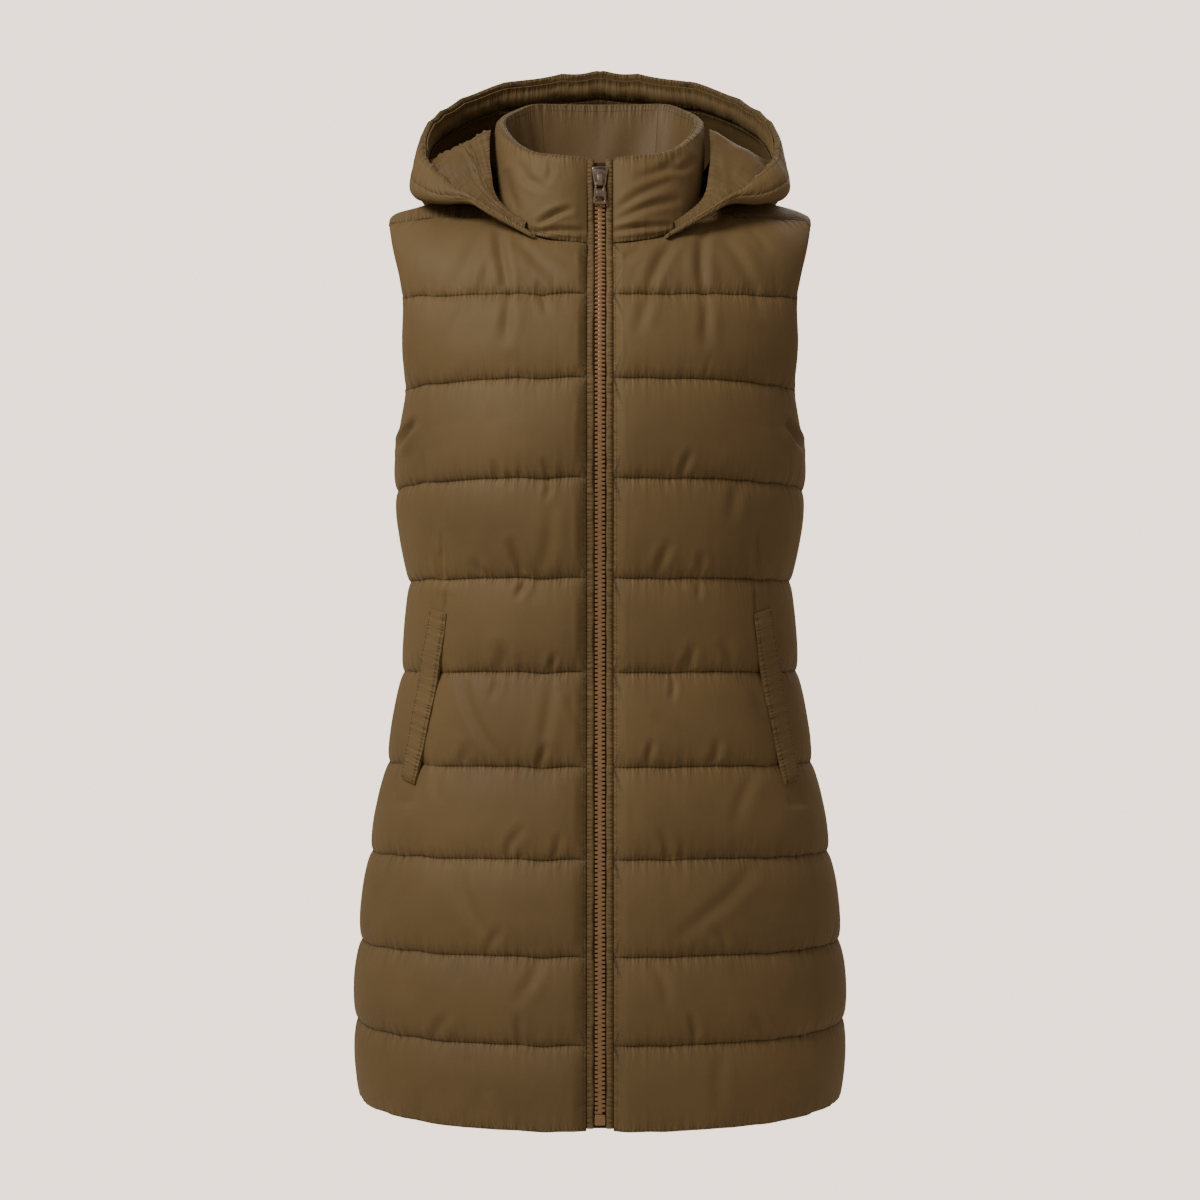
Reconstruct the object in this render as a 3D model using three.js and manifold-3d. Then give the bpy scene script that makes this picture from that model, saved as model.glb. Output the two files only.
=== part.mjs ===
// A long hooded quilted vest, zipped up and filled out as it is worn, open at the neck, armholes and hem.
// Millimetres, +Z up, the front faces -Y, and the wearer's left is +X.
// The origin is on the centre plane, midway between the shoulder tips and level with them.
import * as THREE from "three";
import Module from "manifold-3d";
import { mergeVertices } from "three/addons/utils/BufferGeometryUtils.js";

const wasm = await Module();
wasm.setup();

// Driving dimensions
const SEAM_GAP = 0.3;
const BODY_WALL = 5; // shell, filling and lining where a quilting line presses them flat
const BODY_PUFF = 9; // how far the filling lifts the cloth between two quilting lines
const SIDE_PUFF_SHARE = 0.5;
const HEM_FILL = 0.22; // the hem is turned over the filling, this share of a channel up its curve
const SIDE_FADE = 14; // the filling thins out over this distance from the side seams and armholes
const ZIP_FADE = 12; // and over this distance from the zip
const PANEL_EDGE_X = 12.4; // from the centre line to each front's edge
const SQUARENESS = 2.35; // of the body's level sections, where 2 is an ellipse
const FRONT_COLUMNS = 12;
const BACK_COLUMNS = 22;
const PUFF_STEPS = [0.17, 0.5, 0.83]; // rows within one quilted channel, as shares of its height

const COLLAR_WALL = 5;
const COLLAR_PUFF = 6;
// The part of a channel's curve that the collar's height takes.
const COLLAR_FULLEST = { from: 0.08, span: 0.86 };
const FACING_WALL = 1.2;
const FACING_GAP = 0.4;
const HOOD_WALL = 5;
const HOOD_PUFF = 3;
const HOOD_DEPTH = 200; // roughly, from the neck seam to the rim, to turn shares into millimetres
const HOOD_FADE = 20;
const CROWN_SEAM = 7.5; // where the crown strip's seam crosses the hood's stations
const CROWN_GAP = 0.004; // half the gap at that seam, in stations
const LINING_WALL = 1.2;
const CASING_HEIGHT = 25;
const CASING_START = 8; // the hood's column where the casing comes into view
const CASING_GAP = 1; // between the shell's inside and the casing
const LINING_INSET = 10; // how far the lining lies inside the shell's stitched surface
const LINING_RIM_INSET = 7;
const LINING_CASING_INSET = 9.2;

const CHAIN_HALF = 4.9;
const CHAIN_THICK = 3.2;
const STRIP_INNER_X = 6.2;
const STRIP_THICK = 3.4;
const ZIP_FRONT = 0.6; // the teeth's face stands this far off the panel's stitched surface
const TAPE_THICK = 0.9;
const BOX_TOP_Z = -815; // the zip's box fills the foot of the zip up to here
const SLIDER_Z = 22.6;
const ZIP_STEPS = 30;
// Distances on the slider run up and down along the zip from its middle, and out from the stitched surface.
const SLIDER = { height: 18.6, topWidth: 15, lowWidth: 11, coreWidth: 11, plateBack: 1.1, plateFront: 2.6 };
const BRIDGE = { width: 4.6, low: -9.2, high: 4, footLength: 1.2, inside: 5.2, outside: 6.6 };
const PULL = {
  pivot: -6.5, out: 3.9, thick: 1.6, topWidth: 9.3, lowWidth: 12.5, height: 20.4, barRise: 0.9,
  eyeWidth: 5.6, eyeLow: 6.4, windowWidth: 8, windowHigh: 12.6, windowLow: 17,
};

const WELT_THICK = 2.4;
const WELT_GAP = 0.5; // off the pressed filling under it
const WELT_REACH = 0.09; // how far past its edges the welt presses, as a share of the panel's width
const WELT_ENDS = 0.12; // and past its ends, as a share of its length
const WELT_STEPS = 14;
const WELT_PRESS = 0.55; // how far the welt presses the filling down, as a share of its height

// Level sections of the body at each quilting line, from the hem up.
// line is the quilting line's number, counted up from the hem.
const BODY_SECTIONS = [
  { line: 0, frontZ: -845, sideZ: -835, halfWidth: 226, front: 165, back: 150 },
  { line: 1, frontZ: -771, sideZ: -766, halfWidth: 231, front: 163, back: 150 },
  { line: 2, frontZ: -692, sideZ: -692, halfWidth: 227, front: 158, back: 147 },
  { line: 3, frontZ: -605, sideZ: -609, halfWidth: 217, front: 150, back: 142 },
  { line: 4, frontZ: -522, sideZ: -524, halfWidth: 201, front: 140, back: 132 },
  { line: 5, frontZ: -436, sideZ: -438, halfWidth: 187, front: 132, back: 116 },
  { line: 6, frontZ: -350, sideZ: -353, halfWidth: 181, front: 134, back: 104 },
  { line: 7, frontZ: -259, sideZ: -267, halfWidth: 193, front: 142, back: 109 },
];

// Sections through the armholes. frontEdge and backEdge are how far behind the centre plane each panel's
// armhole edge lies at that height, so a front panel's is negative.
const ARMHOLE_SECTIONS = [
  { line: 7.5, frontZ: -214, sideZ: -217, halfWidth: 190, front: 142, back: 114, frontEdge: 0, backEdge: 0 },
  { line: 7.64, frontZ: -201, sideZ: -207, halfWidth: 190, front: 141, back: 115,
    frontEdge: -26, backEdge: 28 },
  { line: 8, frontZ: -168, sideZ: -176, halfWidth: 191, front: 138, back: 118, frontEdge: -46, backEdge: 52 },
  { line: 8.5, frontZ: -129, sideZ: -130, halfWidth: 201, front: 131, back: 117,
    frontEdge: -58, backEdge: 64 },
  { line: 9, frontZ: -90, sideZ: -84, halfWidth: 206, front: 121, back: 113, frontEdge: -62, backEdge: 67 },
];

// The shoulder seam runs forward of the shoulder's ridge, from the collar to the armhole.
const SHOULDER_SEAM = [[98, -50, -9], [105, -48.5, -8.7], [132, -42, -8], [168, -32, -8.5], [200, -19, -11]];
const SEAM_FACING = new THREE.Vector3(0.06, -0.5, 0.86).normalize(); // the way the cloth faces along it
const SEAM_START_X = 90; // the front panel's top edge is on the seam beyond this,
const SEAM_BEHIND_Y = -20; // and the back panel's where it lies further forward than this
const SEAM_ACROSS = new THREE.Vector3(0.1, 0.86, 0.5).normalize(); // from the front panel to the back one

function seamPoints(side) {
  const away = SEAM_ACROSS.clone().multiplyScalar(side * SEAM_GAP).toArray();
  return SHOULDER_SEAM.map((point) => point.map((value, axis) => value + away[axis]));
}

// The lines above the last level section, each from the centre to the armhole.
const FRONT_YOKE_LINES = [
  { line: 9.5, points: [
    [PANEL_EDGE_X, -106, -64], [60, -101, -60], [122, -84, -50], [165, -69, -45], [194, -49, -43],
  ] },
  { line: 10, points: [
    [PANEL_EDGE_X, -92, -40], [45, -89, -36], [72, -80, -27], [86, -61, -13], ...seamPoints(-1),
  ] },
];
const BACK_YOKE_LINES = [
  { line: 9.5, points: [[0, 100, -28], [60, 97, -26], [122, 84, -24], [165, 69, -25], [196, 52, -31]] },
  { line: 9.8, points: [
    [0, 84, 14], [46, 76, 15], [78, 48, 19], [108, 26, 17], [150, 16, 10], [180, 14, 3.5], [201, 14, -1.5],
  ] },
  { line: 10, points: [
    [0, 74, 37], [46, 71, 36.5], [81, 49, 32.5], [97, 4, 21], [99, -31, 3], ...seamPoints(1),
  ] },
];

// The collar's seam to the body and its top edge, from the zip round to the centre back.
const COLLAR_BASE = [
  [PANEL_EDGE_X, -90, -39], [45, -87, -35], [71, -78, -26], [85, -58, -10], [91, -32, 6], [90, 2, 26],
  [75, 43, 37], [43, 66, 38.5], [0, 71, 38],
];
const COLLAR_TOP = [
  [PANEL_EDGE_X, -84, 39], [38, -82, 42], [62, -70, 47], [82, -46, 62], [95, -12, 80], [97, 20, 94],
  [84, 50, 107], [66, 68, 116], [30, 74, 117], [0, 75, 117],
];
const COLLAR_STEPS = 15;
const FACING_SEAM = 12; // the column where the collar's side facings meet the back one
const COLLAR_REACH = 290; // half the way round, to turn shares into millimetres
const COLLAR_ROWS = [0, 0.12, 0.4, 0.7, 0.9, 1];

// Stations round one side of the hood, from its front corner to the centre back. Each gives the shell's
// cross-section: neck where it is sewn to the collar seam, under and low where it rests on the shoulder,
// out where it stands furthest out, and rim, its edge.
const HOOD_STATIONS = [
  { neck: [80, -84, -27], under: [80.5, -87, -29], low: [82, -89.5, -29], out: [83.5, -90, -27],
    rim: [84, -88, -24] },
  { neck: [92, -72, -13], under: [95, -80, -15], low: [100, -86, -13], out: [105, -84, -7],
    rim: [106.5, -82, -1.5] },
  { neck: [101, -56, 1], under: [108, -68, -2], low: [120, -75, 0], out: [131, -69, 8],
    rim: [134.5, -63, 17.5] },
  { neck: [102, -34, 14], under: [120, -50, 9], low: [148, -54, 4], out: [166, -43, 15],
    rim: [160.4, -32, 43.4] },
  { neck: [103, -10, 29], under: [128, -14, 27], low: [168, -20, 12], out: [179, -14, 23],
    rim: [170.5, -6, 59] },
  { neck: [101, 14, 34], under: [132, 20, 32], low: [169, 30, 18], out: [177, 30, 34], rim: [172, 31, 87] },
  { neck: [92, 40, 36], under: [118, 66, 16], low: [154, 96, 2], out: [172, 96, 46], rim: [156, 66, 113] },
  { neck: [74, 64, 40], under: [96, 104, 2], low: [120, 140, -44], out: [138, 154, 36], rim: [114, 94, 140] },
  { neck: [40, 80, 43], under: [54, 119, -10], low: [66, 158, -84], out: [80, 188, 22], rim: [60, 110, 154] },
  { neck: [0, 84, 44], under: [0, 124, -14], low: [0, 166, -98], out: [0, 200, 18], rim: [0, 116, 161] },
];

// The lining inside it. Where it stands clear of the shell, crest is its ridge beside the collar, floor its
// lowest part and wall its outer part. Elsewhere it lies against the shell.
const LINING_STATIONS = [
  { neck: [83, -80, -17], crest: [83.5, -81.5, -17], floor: [83.7, -83, -18], wall: [83.9, -84, -19] },
  { neck: [95, -66, 4], crest: [97, -68, 5], floor: [99, -69, 6], wall: [101.5, -70.5, 4.5] },
  { neck: [103, -46, 34], crest: [106, -47, 35], floor: [112, -48, 32], wall: [120, -50, 26] },
  { neck: [105, -22, 62], crest: [111, -23, 61], floor: [125, -26, 54], wall: [143, -28, 46] },
  { neck: [104.5, -2, 80], crest: [113, -2, 77], floor: [130, -2, 66], wall: [154, -1, 54] },
  { neck: [107, 18, 58], crest: [116, 22, 49], floor: [148, 30, 42], wall: [166, 31, 54] },
  { neck: [96, 46, 44] },
  { neck: [78, 72, 46] },
  { neck: [42, 90, 50] },
  { neck: [0, 94, 51] },
];

// The left welt's corners as places on the front panel: its share of the way from the zip to the side, and
// the quilting line's number.
const WELT = {
  top: { innerAcross: 0.55, innerLine: 5.63, outerAcross: 0.64, outerLine: 5.69 },
  low: { innerAcross: 0.615, innerLine: 3.78, outerAcross: 0.69, outerLine: 3.85 },
};

// Interpolation shared by every piece

// A smooth curve through values at knots, with the slopes of its neighbours (no overshoot past a flat knot).
function smooth(knots, values, at) {
  const last = knots.length - 1;
  let i = 0;
  while (i < last - 1 && at > knots[i + 1]) i++;
  const span = knots[i + 1] - knots[i];
  const t = Math.min(1, Math.max(0, (at - knots[i]) / span));
  const slope = (k) => {
    const lo = Math.max(0, k - 1);
    const hi = Math.min(last, k + 1);
    return (values[hi] - values[lo]) / (knots[hi] - knots[lo]);
  };
  const t2 = t * t;
  const t3 = t2 * t;
  return (
    (2 * t3 - 3 * t2 + 1) * values[i] + (t3 - 2 * t2 + t) * span * slope(i) +
    (3 * t2 - 2 * t3) * values[i + 1] + (t3 - t2) * span * slope(i + 1)
  );
}

function smoothPoint(knots, points, at) {
  return new THREE.Vector3(...[0, 1, 2].map((axis) => smooth(knots, points.map((p) => p[axis]), at)));
}

// A curve through points, read at a share of its length.
function lineThrough(points) {
  const knots = [0];
  for (let i = 1; i < points.length; i++) {
    const step = Math.hypot(...points[i].map((c, axis) => c - points[i - 1][axis]));
    knots.push(knots[i - 1] + step);
  }
  const whole = knots[knots.length - 1];
  return Object.assign((share) => smoothPoint(knots, points, share * whole), { whole });
}

// A quarter of a level section, from startX at the front or back to where it meets edgeY, evenly spaced.
function sectionLine(row, depth, side, startX, edgeY) {
  const exponent = 2 / SQUARENESS;
  const samples = [];
  const count = 48;
  for (let i = 0; i <= count; i++) {
    const angle = (Math.PI / 2) * (i / count);
    const x = row.halfWidth * Math.sin(angle) ** exponent;
    const y = side * depth * Math.cos(angle) ** exponent;
    const turn = (i / count) ** 2;
    const z = row.frontZ + (row.sideZ - row.frontZ) * turn;
    if (x >= startX - 1e-6 && side * y >= side * edgeY - 1e-6) samples.push([x, y, z]);
  }
  const first = samples[0];
  if (first[0] > startX + 1) samples.unshift([startX, side * depth, first[2]]);
  else samples[0] = [startX, first[1], first[2]];
  return lineThrough(samples);
}

// The rows of half a panel: a curve and its quilting line number, from the hem to the top.
function panelRows(side, startX, yokeLines) {
  const rows = [];
  for (const row of BODY_SECTIONS) {
    const depth = side < 0 ? row.front : row.back;
    rows.push({ line: row.line, curve: sectionLine(row, depth, side, startX, 0) });
  }
  for (const row of ARMHOLE_SECTIONS) {
    const depth = side < 0 ? row.front : row.back;
    const edge = side < 0 ? row.frontEdge : row.backEdge;
    rows.push({ line: row.line, curve: sectionLine(row, depth, side, startX, edge) });
  }
  for (const row of yokeLines) rows.push({ line: row.line, curve: lineThrough(row.points) });
  return rows;
}

// The stitched surface of half a panel: across runs from the centre to the side, line from the hem up.
function panelSurface(side, startX, yokeLines) {
  const rows = panelRows(side, startX, yokeLines);
  const knots = rows.map((row) => row.line);
  return (across, line) => smoothPoint(knots, rows.map((row) => row.curve(across).toArray()), line);
}

// The outward normal of a surface read at (a, b), where outward says which way round it is.
function normalOf(surface, a, b, [lowA, highA], [lowB, highB], outward) {
  const da = (highA - lowA) * 0.004;
  const db = (highB - lowB) * 0.004;
  const alongA = surface(Math.min(highA, a + da), b).sub(surface(Math.max(lowA, a - da), b));
  const alongB = surface(a, Math.min(highB, b + db)).sub(surface(a, Math.max(lowB, b - db)));
  return alongA.cross(alongB).normalize().multiplyScalar(outward);
}

// How high the filling stands across one channel, from 0 at its stitched lines to 1.
function channelRise(share) {
  return Math.sqrt(Math.max(0, 1 - Math.abs(2 * share - 1) ** 2.4));
}

function edgeFade(distance, reach) {
  const t = reach > 0 ? Math.min(1, Math.max(0, distance / reach)) : 1;
  return Math.sin((t * Math.PI) / 2);
}

// A closed wall between two grids of points of the same size, outer[row][column] and inner[row][column].
function wall(outer, inner) {
  const rows = outer.length;
  const columns = outer[0].length;
  const positions = [...outer.flat(), ...inner.flat()].flatMap((p) => [p.x, p.y, p.z]);
  const at = (layer, r, c) => layer * rows * columns + r * columns + c;
  const faces = [];
  const quad = (a, b, c, d) => faces.push(a, b, c, a, c, d);
  for (let r = 0; r + 1 < rows; r++) {
    for (let c = 0; c + 1 < columns; c++) {
      quad(at(0, r, c), at(0, r, c + 1), at(0, r + 1, c + 1), at(0, r + 1, c));
      quad(at(1, r, c), at(1, r + 1, c), at(1, r + 1, c + 1), at(1, r, c + 1));
    }
  }
  for (let c = 0; c + 1 < columns; c++) {
    quad(at(0, 0, c + 1), at(0, 0, c), at(1, 0, c), at(1, 0, c + 1));
    quad(at(0, rows - 1, c), at(0, rows - 1, c + 1), at(1, rows - 1, c + 1), at(1, rows - 1, c));
  }
  for (let r = 0; r + 1 < rows; r++) {
    quad(at(0, r, 0), at(0, r + 1, 0), at(1, r + 1, 0), at(1, r, 0));
    quad(at(0, r, columns - 1), at(1, r, columns - 1), at(1, r + 1, columns - 1), at(0, r + 1, columns - 1));
  }
  const geometry = new THREE.BufferGeometry();
  geometry.setAttribute("position", new THREE.Float32BufferAttribute(positions, 3));
  geometry.setIndex(faces);
  return facingOut(geometry);
}

// Turns a closed geometry's faces over when they point inwards.
function facingOut(geometry) {
  const p = geometry.getAttribute("position");
  const index = geometry.index.array;
  const [a, b, c] = [new THREE.Vector3(), new THREE.Vector3(), new THREE.Vector3()];
  let volume = 0;
  for (let i = 0; i < index.length; i += 3) {
    a.fromBufferAttribute(p, index[i]);
    b.fromBufferAttribute(p, index[i + 1]);
    c.fromBufferAttribute(p, index[i + 2]);
    volume += a.dot(b.cross(c));
  }
  if (volume < 0) {
    for (let i = 0; i < index.length; i += 3) [index[i + 1], index[i + 2]] = [index[i + 2], index[i + 1]];
  }
  return geometry;
}

function mirrored(geometry) {
  return facingOut(geometry.clone().applyMatrix4(new THREE.Matrix4().makeScale(-1, 1, 1)));
}

// Quilted body panels

const LINES = [0, 10];
const SHARES = [0, 1];
const SIDE_SEAM_TOP = 7.5; // the quilting line number where the side seam ends and the armholes begin
const PANEL_WIDTH = 260; // roughly, from the centre to the side, to turn shares into millimetres
const frontSurface = panelSurface(-1, PANEL_EDGE_X, FRONT_YOKE_LINES);
const backSurface = panelSurface(1, 0, BACK_YOKE_LINES);

function quiltLines(last) {
  const lines = [];
  for (let line = 0; line < last; line++) lines.push(line, ...PUFF_STEPS.map((step) => line + step));
  lines.push(last);
  return lines;
}

// How far the welt holds the filling down at a place on the front panel, from 0 to 1.
function weltPress(across, line) {
  const t = (line - WELT.low.innerLine) / (WELT.top.innerLine - WELT.low.innerLine);
  if (t < -WELT_ENDS || t > 1 + WELT_ENDS) return 0;
  const inner = WELT.low.innerAcross + (WELT.top.innerAcross - WELT.low.innerAcross) * t;
  const outer = WELT.low.outerAcross + (WELT.top.outerAcross - WELT.low.outerAcross) * t;
  const beyond = Math.max(inner - across, across - outer, 0);
  return 1 - Math.min(1, beyond / WELT_REACH);
}

// How far the cloth stands off its stitched surface. The yoke of the back has a line halfway up it.
function puffAt({ across, line, centreFade, halved }) {
  let share = line - Math.floor(line);
  if (halved && line > 9) share = (line - 9) * 2 - Math.floor((line - 9) * 2);
  if (line < 1) share = HEM_FILL + (1 - HEM_FILL) * line;
  const width = 1 - (1 - SIDE_PUFF_SHARE) * across ** 3;
  const held = edgeFade((1 - across) * PANEL_WIDTH, SIDE_FADE) * edgeFade(across * PANEL_WIDTH, centreFade);
  return BODY_PUFF * width * channelRise(share) * held;
}

// The way a panel faces. Where two panels are sewn together both turn the same way, so that they only meet.
function panelNormal(surface, side, across, line) {
  const normal = normalOf(surface, across, line, SHARES, LINES, -side);
  if (side > 0 && across === 0) normal.setX(0).normalize();
  if (across === 1 && line <= SIDE_SEAM_TOP) normal.setY(0).normalize();
  const onSeam = side < 0 ? surface(across, line).x > SEAM_START_X : surface(across, line).y < SEAM_BEHIND_Y;
  if (line === LINES[1] && onSeam) normal.copy(SEAM_FACING);
  return normal;
}

function panelPoint(surface, side, across, line) {
  const point = surface(across, line);
  if (across === 1 && line <= SIDE_SEAM_TOP) point.y = (side * SEAM_GAP) / 2;
  return point;
}

function frontPoint(across, line, off) {
  return panelPoint(frontSurface, -1, across, line)
    .addScaledVector(panelNormal(frontSurface, -1, across, line), off);
}

function frontPuff(across, line) {
  const press = 1 - WELT_PRESS * weltPress(across, line);
  return press * puffAt({ across, line, centreFade: ZIP_FADE, halved: false });
}

function frontPanel() {
  const columns = Array.from({ length: FRONT_COLUMNS + 1 }, (_, c) => c / FRONT_COLUMNS);
  const lines = quiltLines(LINES[1]);
  const grid = (off) =>
    lines.map((line) => columns.map((across) => frontPoint(across, line, off(across, line))));
  const outer = grid(frontPuff);
  const inner = grid(() => -BODY_WALL);
  return wall(outer, inner);
}

function backPoint(place, line, off) {
  const across = Math.abs(place);
  const point = panelPoint(backSurface, 1, across, line)
    .addScaledVector(panelNormal(backSurface, 1, across, line), off);
  return place < 0 ? point.setX(-point.x) : point;
}

function backPanel() {
  const columns = Array.from({ length: BACK_COLUMNS + 1 }, (_, c) => (2 * c) / BACK_COLUMNS - 1);
  const lines = [...quiltLines(9), 9.08, 9.25, 9.42, 9.5, 9.6, 9.7, 9.8, 9.9, LINES[1]];
  const puff = (place, line) =>
    puffAt({ across: Math.abs(place), line, centreFade: 0, halved: true });
  const outer = lines.map((line) => columns.map((place) => backPoint(place, line, puff(place, line))));
  const inner = lines.map((line) => columns.map((place) => backPoint(place, line, -BODY_WALL)));
  return wall(outer, inner);
}

// Pocket welt, made from the front panel's points, moved out

function pocketWelt() {
  const seat = (1 - WELT_PRESS) * BODY_PUFF + WELT_GAP;
  const outer = [];
  const inner = [];
  for (let r = 0; r <= WELT_STEPS; r++) {
    const t = r / WELT_STEPS;
    const along = (key) => WELT.low[key] + (WELT.top[key] - WELT.low[key]) * t;
    const cross = [0, 0.5, 1].map((s) => ({
      across: along("innerAcross") + (along("outerAcross") - along("innerAcross")) * s,
      line: along("innerLine") + (along("outerLine") - along("innerLine")) * s,
    }));
    outer.push(cross.map(({ across, line }) => frontPoint(across, line, seat + WELT_THICK)));
    inner.push(cross.map(({ across, line }) => frontPoint(across, line, seat)));
  }
  return wall(outer, inner);
}

// Collar

const collarBase = lineThrough(COLLAR_BASE);
const collarTop = lineThrough(COLLAR_TOP);
const collarSurface = (round, up) => collarBase(round).lerp(collarTop(round), up);

const evenRows = (count, from = 0, to = 1) =>
  Array.from({ length: count + 1 }, (_, i) => from + ((to - from) * i) / count);

// Columns on both sides of the centre back, which lies at last. A column on the right is written as last's
// mirror image: last + (last - column).
const bothSides = (columns, last) => [
  ...columns.filter((column) => column < last - 1e-6), last,
  ...columns.filter((column) => column < last - 1e-6).reverse().map((column) => 2 * last - column),
];

// A wall between two offsets off a surface whose two halves mirror each other about the centre plane.
function mirroredWall({ surface, last, columns, rows, outerAt, innerAt, squareStart = false }) {
  const grid = (offset) => rows.map((row) => columns.map((column) => {
    const place = column > last ? 2 * last - column : column;
    const point = surface(place, row);
    const normal = normalOf(surface, place, row, [0, last], SHARES, 1);
    if (place === last) point.x = 0;
    if (place === last || (squareStart && place === 0)) normal.setX(0).normalize();
    point.addScaledVector(normal, offset(place, row));
    return column > last ? point.setX(-point.x) : point;
  }));
  return wall(grid(outerAt), grid(innerAt));
}

const COLLAR_COLUMNS = evenRows(COLLAR_STEPS);
const COLLAR = { surface: collarSurface, last: 1, rows: COLLAR_ROWS, squareStart: true };

function collarShell() {
  return mirroredWall({
    ...COLLAR, columns: bothSides(COLLAR_COLUMNS, 1),
    outerAt: (round, up) => COLLAR_PUFF * channelRise(COLLAR_FULLEST.from + COLLAR_FULLEST.span * up)
      * edgeFade(round * COLLAR_REACH, ZIP_FADE),
    innerAt: () => -COLLAR_WALL,
  });
}

const COLLAR_FACING = {
  ...COLLAR,
  outerAt: () => -COLLAR_WALL - FACING_GAP,
  innerAt: () => -COLLAR_WALL - FACING_GAP - FACING_WALL,
};

function collarSideFacing() {
  const seam = COLLAR_COLUMNS[FACING_SEAM] - SEAM_GAP / COLLAR_REACH;
  return mirroredWall({ ...COLLAR_FACING, columns: [...COLLAR_COLUMNS.slice(0, FACING_SEAM), seam] });
}

function collarBackFacing() {
  return mirroredWall({ ...COLLAR_FACING, columns: bothSides(COLLAR_COLUMNS.slice(FACING_SEAM), 1) });
}

// Hood

const STATION_KNOTS = HOOD_STATIONS.map((_, i) => i);
const STATION_LAST = HOOD_STATIONS.length - 1;

function stationCurve(stations, names, station) {
  const through = (name) => smoothPoint(STATION_KNOTS, stations.map((s) => s[name]), station).toArray();
  return lineThrough(names.map(through));
}

const shellCurve = (station) => stationCurve(HOOD_STATIONS, ["neck", "under", "low", "out", "rim"], station);
const shellSurface = (station, along) => shellCurve(station)(along);
const shellLength = (station) => shellCurve(station).whole;

// The shell and everything inside it thin out where the hood runs down to its front corner.
const hoodTaper = (station) => Math.min(1, 0.2 + 0.3 * station);

// Where the casing's lower edge lies, as a share of the way from the neck seam to the rim.
const casingEdge = (station) => 1 - Math.min(CASING_HEIGHT / shellLength(station), 0.3);

function insideShell(station, along, off) {
  const normal = normalOf(shellSurface, station, along, [0, STATION_LAST], SHARES, 1);
  return shellSurface(station, along).addScaledVector(normal, -off * hoodTaper(station));
}

const SHELL_PLACES = { under: 0.2, low: 0.45, out: 0.72 };

const RIM_SEWN = 4; // before this station there is no casing and the lining runs on to the rim

const atRim = (station) => insideShell(station, station < 3 ? 1 : 0.96, LINING_RIM_INSET);

const belowCasing = (station) =>
  insideShell(station, casingEdge(station) - LINING_WALL / shellLength(station), LINING_CASING_INSET);

const LINING_ROWS = LINING_STATIONS.map((row, station) => ({
  neck: row.neck,
  crest: row.crest ?? insideShell(station, SHELL_PLACES.under, LINING_INSET).toArray(),
  floor: row.floor ?? insideShell(station, SHELL_PLACES.low, LINING_INSET).toArray(),
  wall: row.wall ?? insideShell(station, SHELL_PLACES.out, LINING_INSET).toArray(),
  seam: (station < RIM_SEWN ? atRim(station) : belowCasing(station)).toArray(),
}));

const liningSurface = (station, along) =>
  stationCurve(LINING_ROWS, ["neck", "crest", "floor", "wall", "seam"], station)(along);

const SIDE_COLUMNS = evenRows(14, 0, CROWN_SEAM);
const CROWN_COLUMNS = evenRows(4, CROWN_SEAM, STATION_LAST);
const HOOD_COLUMNS = bothSides([...SIDE_COLUMNS, ...CROWN_COLUMNS.slice(1)], STATION_LAST);

const HOOD_SHELL = {
  surface: shellSurface, last: STATION_LAST, rows: evenRows(11),
  outerAt: (station, along) =>
    HOOD_PUFF * hoodTaper(station) * edgeFade((1 - along) * HOOD_DEPTH, HOOD_FADE)
    * edgeFade(along * HOOD_DEPTH, HOOD_FADE),
  innerAt: (station) => -HOOD_WALL * hoodTaper(station),
};

function hoodSide() {
  return mirroredWall({ ...HOOD_SHELL, columns: [...SIDE_COLUMNS.slice(0, -1), CROWN_SEAM - CROWN_GAP] });
}

function hoodCrown() {
  const columns = [CROWN_SEAM + CROWN_GAP, ...CROWN_COLUMNS.slice(1)];
  return mirroredWall({ ...HOOD_SHELL, columns: bothSides(columns, STATION_LAST) });
}

function hoodCasing() {
  return mirroredWall({
    surface: (station, share) => {
      const edge = casingEdge(station);
      return shellSurface(station, edge + (0.99 - edge) * share);
    },
    last: STATION_LAST, columns: HOOD_COLUMNS.slice(CASING_START, -CASING_START), rows: [0, 0.5, 1],
    outerAt: (station) => -(HOOD_WALL + CASING_GAP) * hoodTaper(station),
    innerAt: (station) => -(HOOD_WALL + CASING_GAP) * hoodTaper(station) - FACING_WALL,
  });
}

function hoodLining() {
  return mirroredWall({
    surface: liningSurface, last: STATION_LAST, columns: HOOD_COLUMNS.slice(1, -1), rows: evenRows(10),
    outerAt: () => 0, innerAt: (station) => -LINING_WALL * hoodTaper(station),
  });
}

// Zip: everything on it follows the front edge of the panels and collar

const HEM_Z = BODY_SECTIONS[0].frontZ;
const COLLAR_TOP_Z = COLLAR_TOP[0][2];
const PROFILE = [
  ...[0, 1, 2, 3, 4, 5, 6, 7, 8, 9, 9.5].map((line) => frontSurface(0, line)),
  collarSurface(0, 0),
  collarSurface(0, 1),
];

const ZIP_HEIGHTS = evenRows(ZIP_STEPS, HEM_Z, COLLAR_TOP_Z);

const profileY = (z) => smooth(PROFILE.map((p) => p.z), PROFILE.map((p) => p.y), z);

function profileNormal(z) {
  const step = 2;
  const slope = (profileY(z + step) - profileY(z - step)) / (2 * step);
  return new THREE.Vector3(0, -1, slope).normalize();
}

// A strip up the front between two heights, between two distances from the centre line, and between two
// offsets off the profile.
function frontStrip({ lowZ, highZ, x0, x1, back, front }) {
  const at = (z, x, off) => new THREE.Vector3(x, profileY(z), z).addScaledVector(profileNormal(z), off);
  const heights = [lowZ, ...ZIP_HEIGHTS.filter((z) => z > lowZ + 1 && z < highZ - 1), highZ];
  return wall(
    heights.map((z) => [at(z, x0, front), at(z, x1, front)]),
    heights.map((z) => [at(z, x0, back), at(z, x1, back)]),
  );
}

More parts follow.
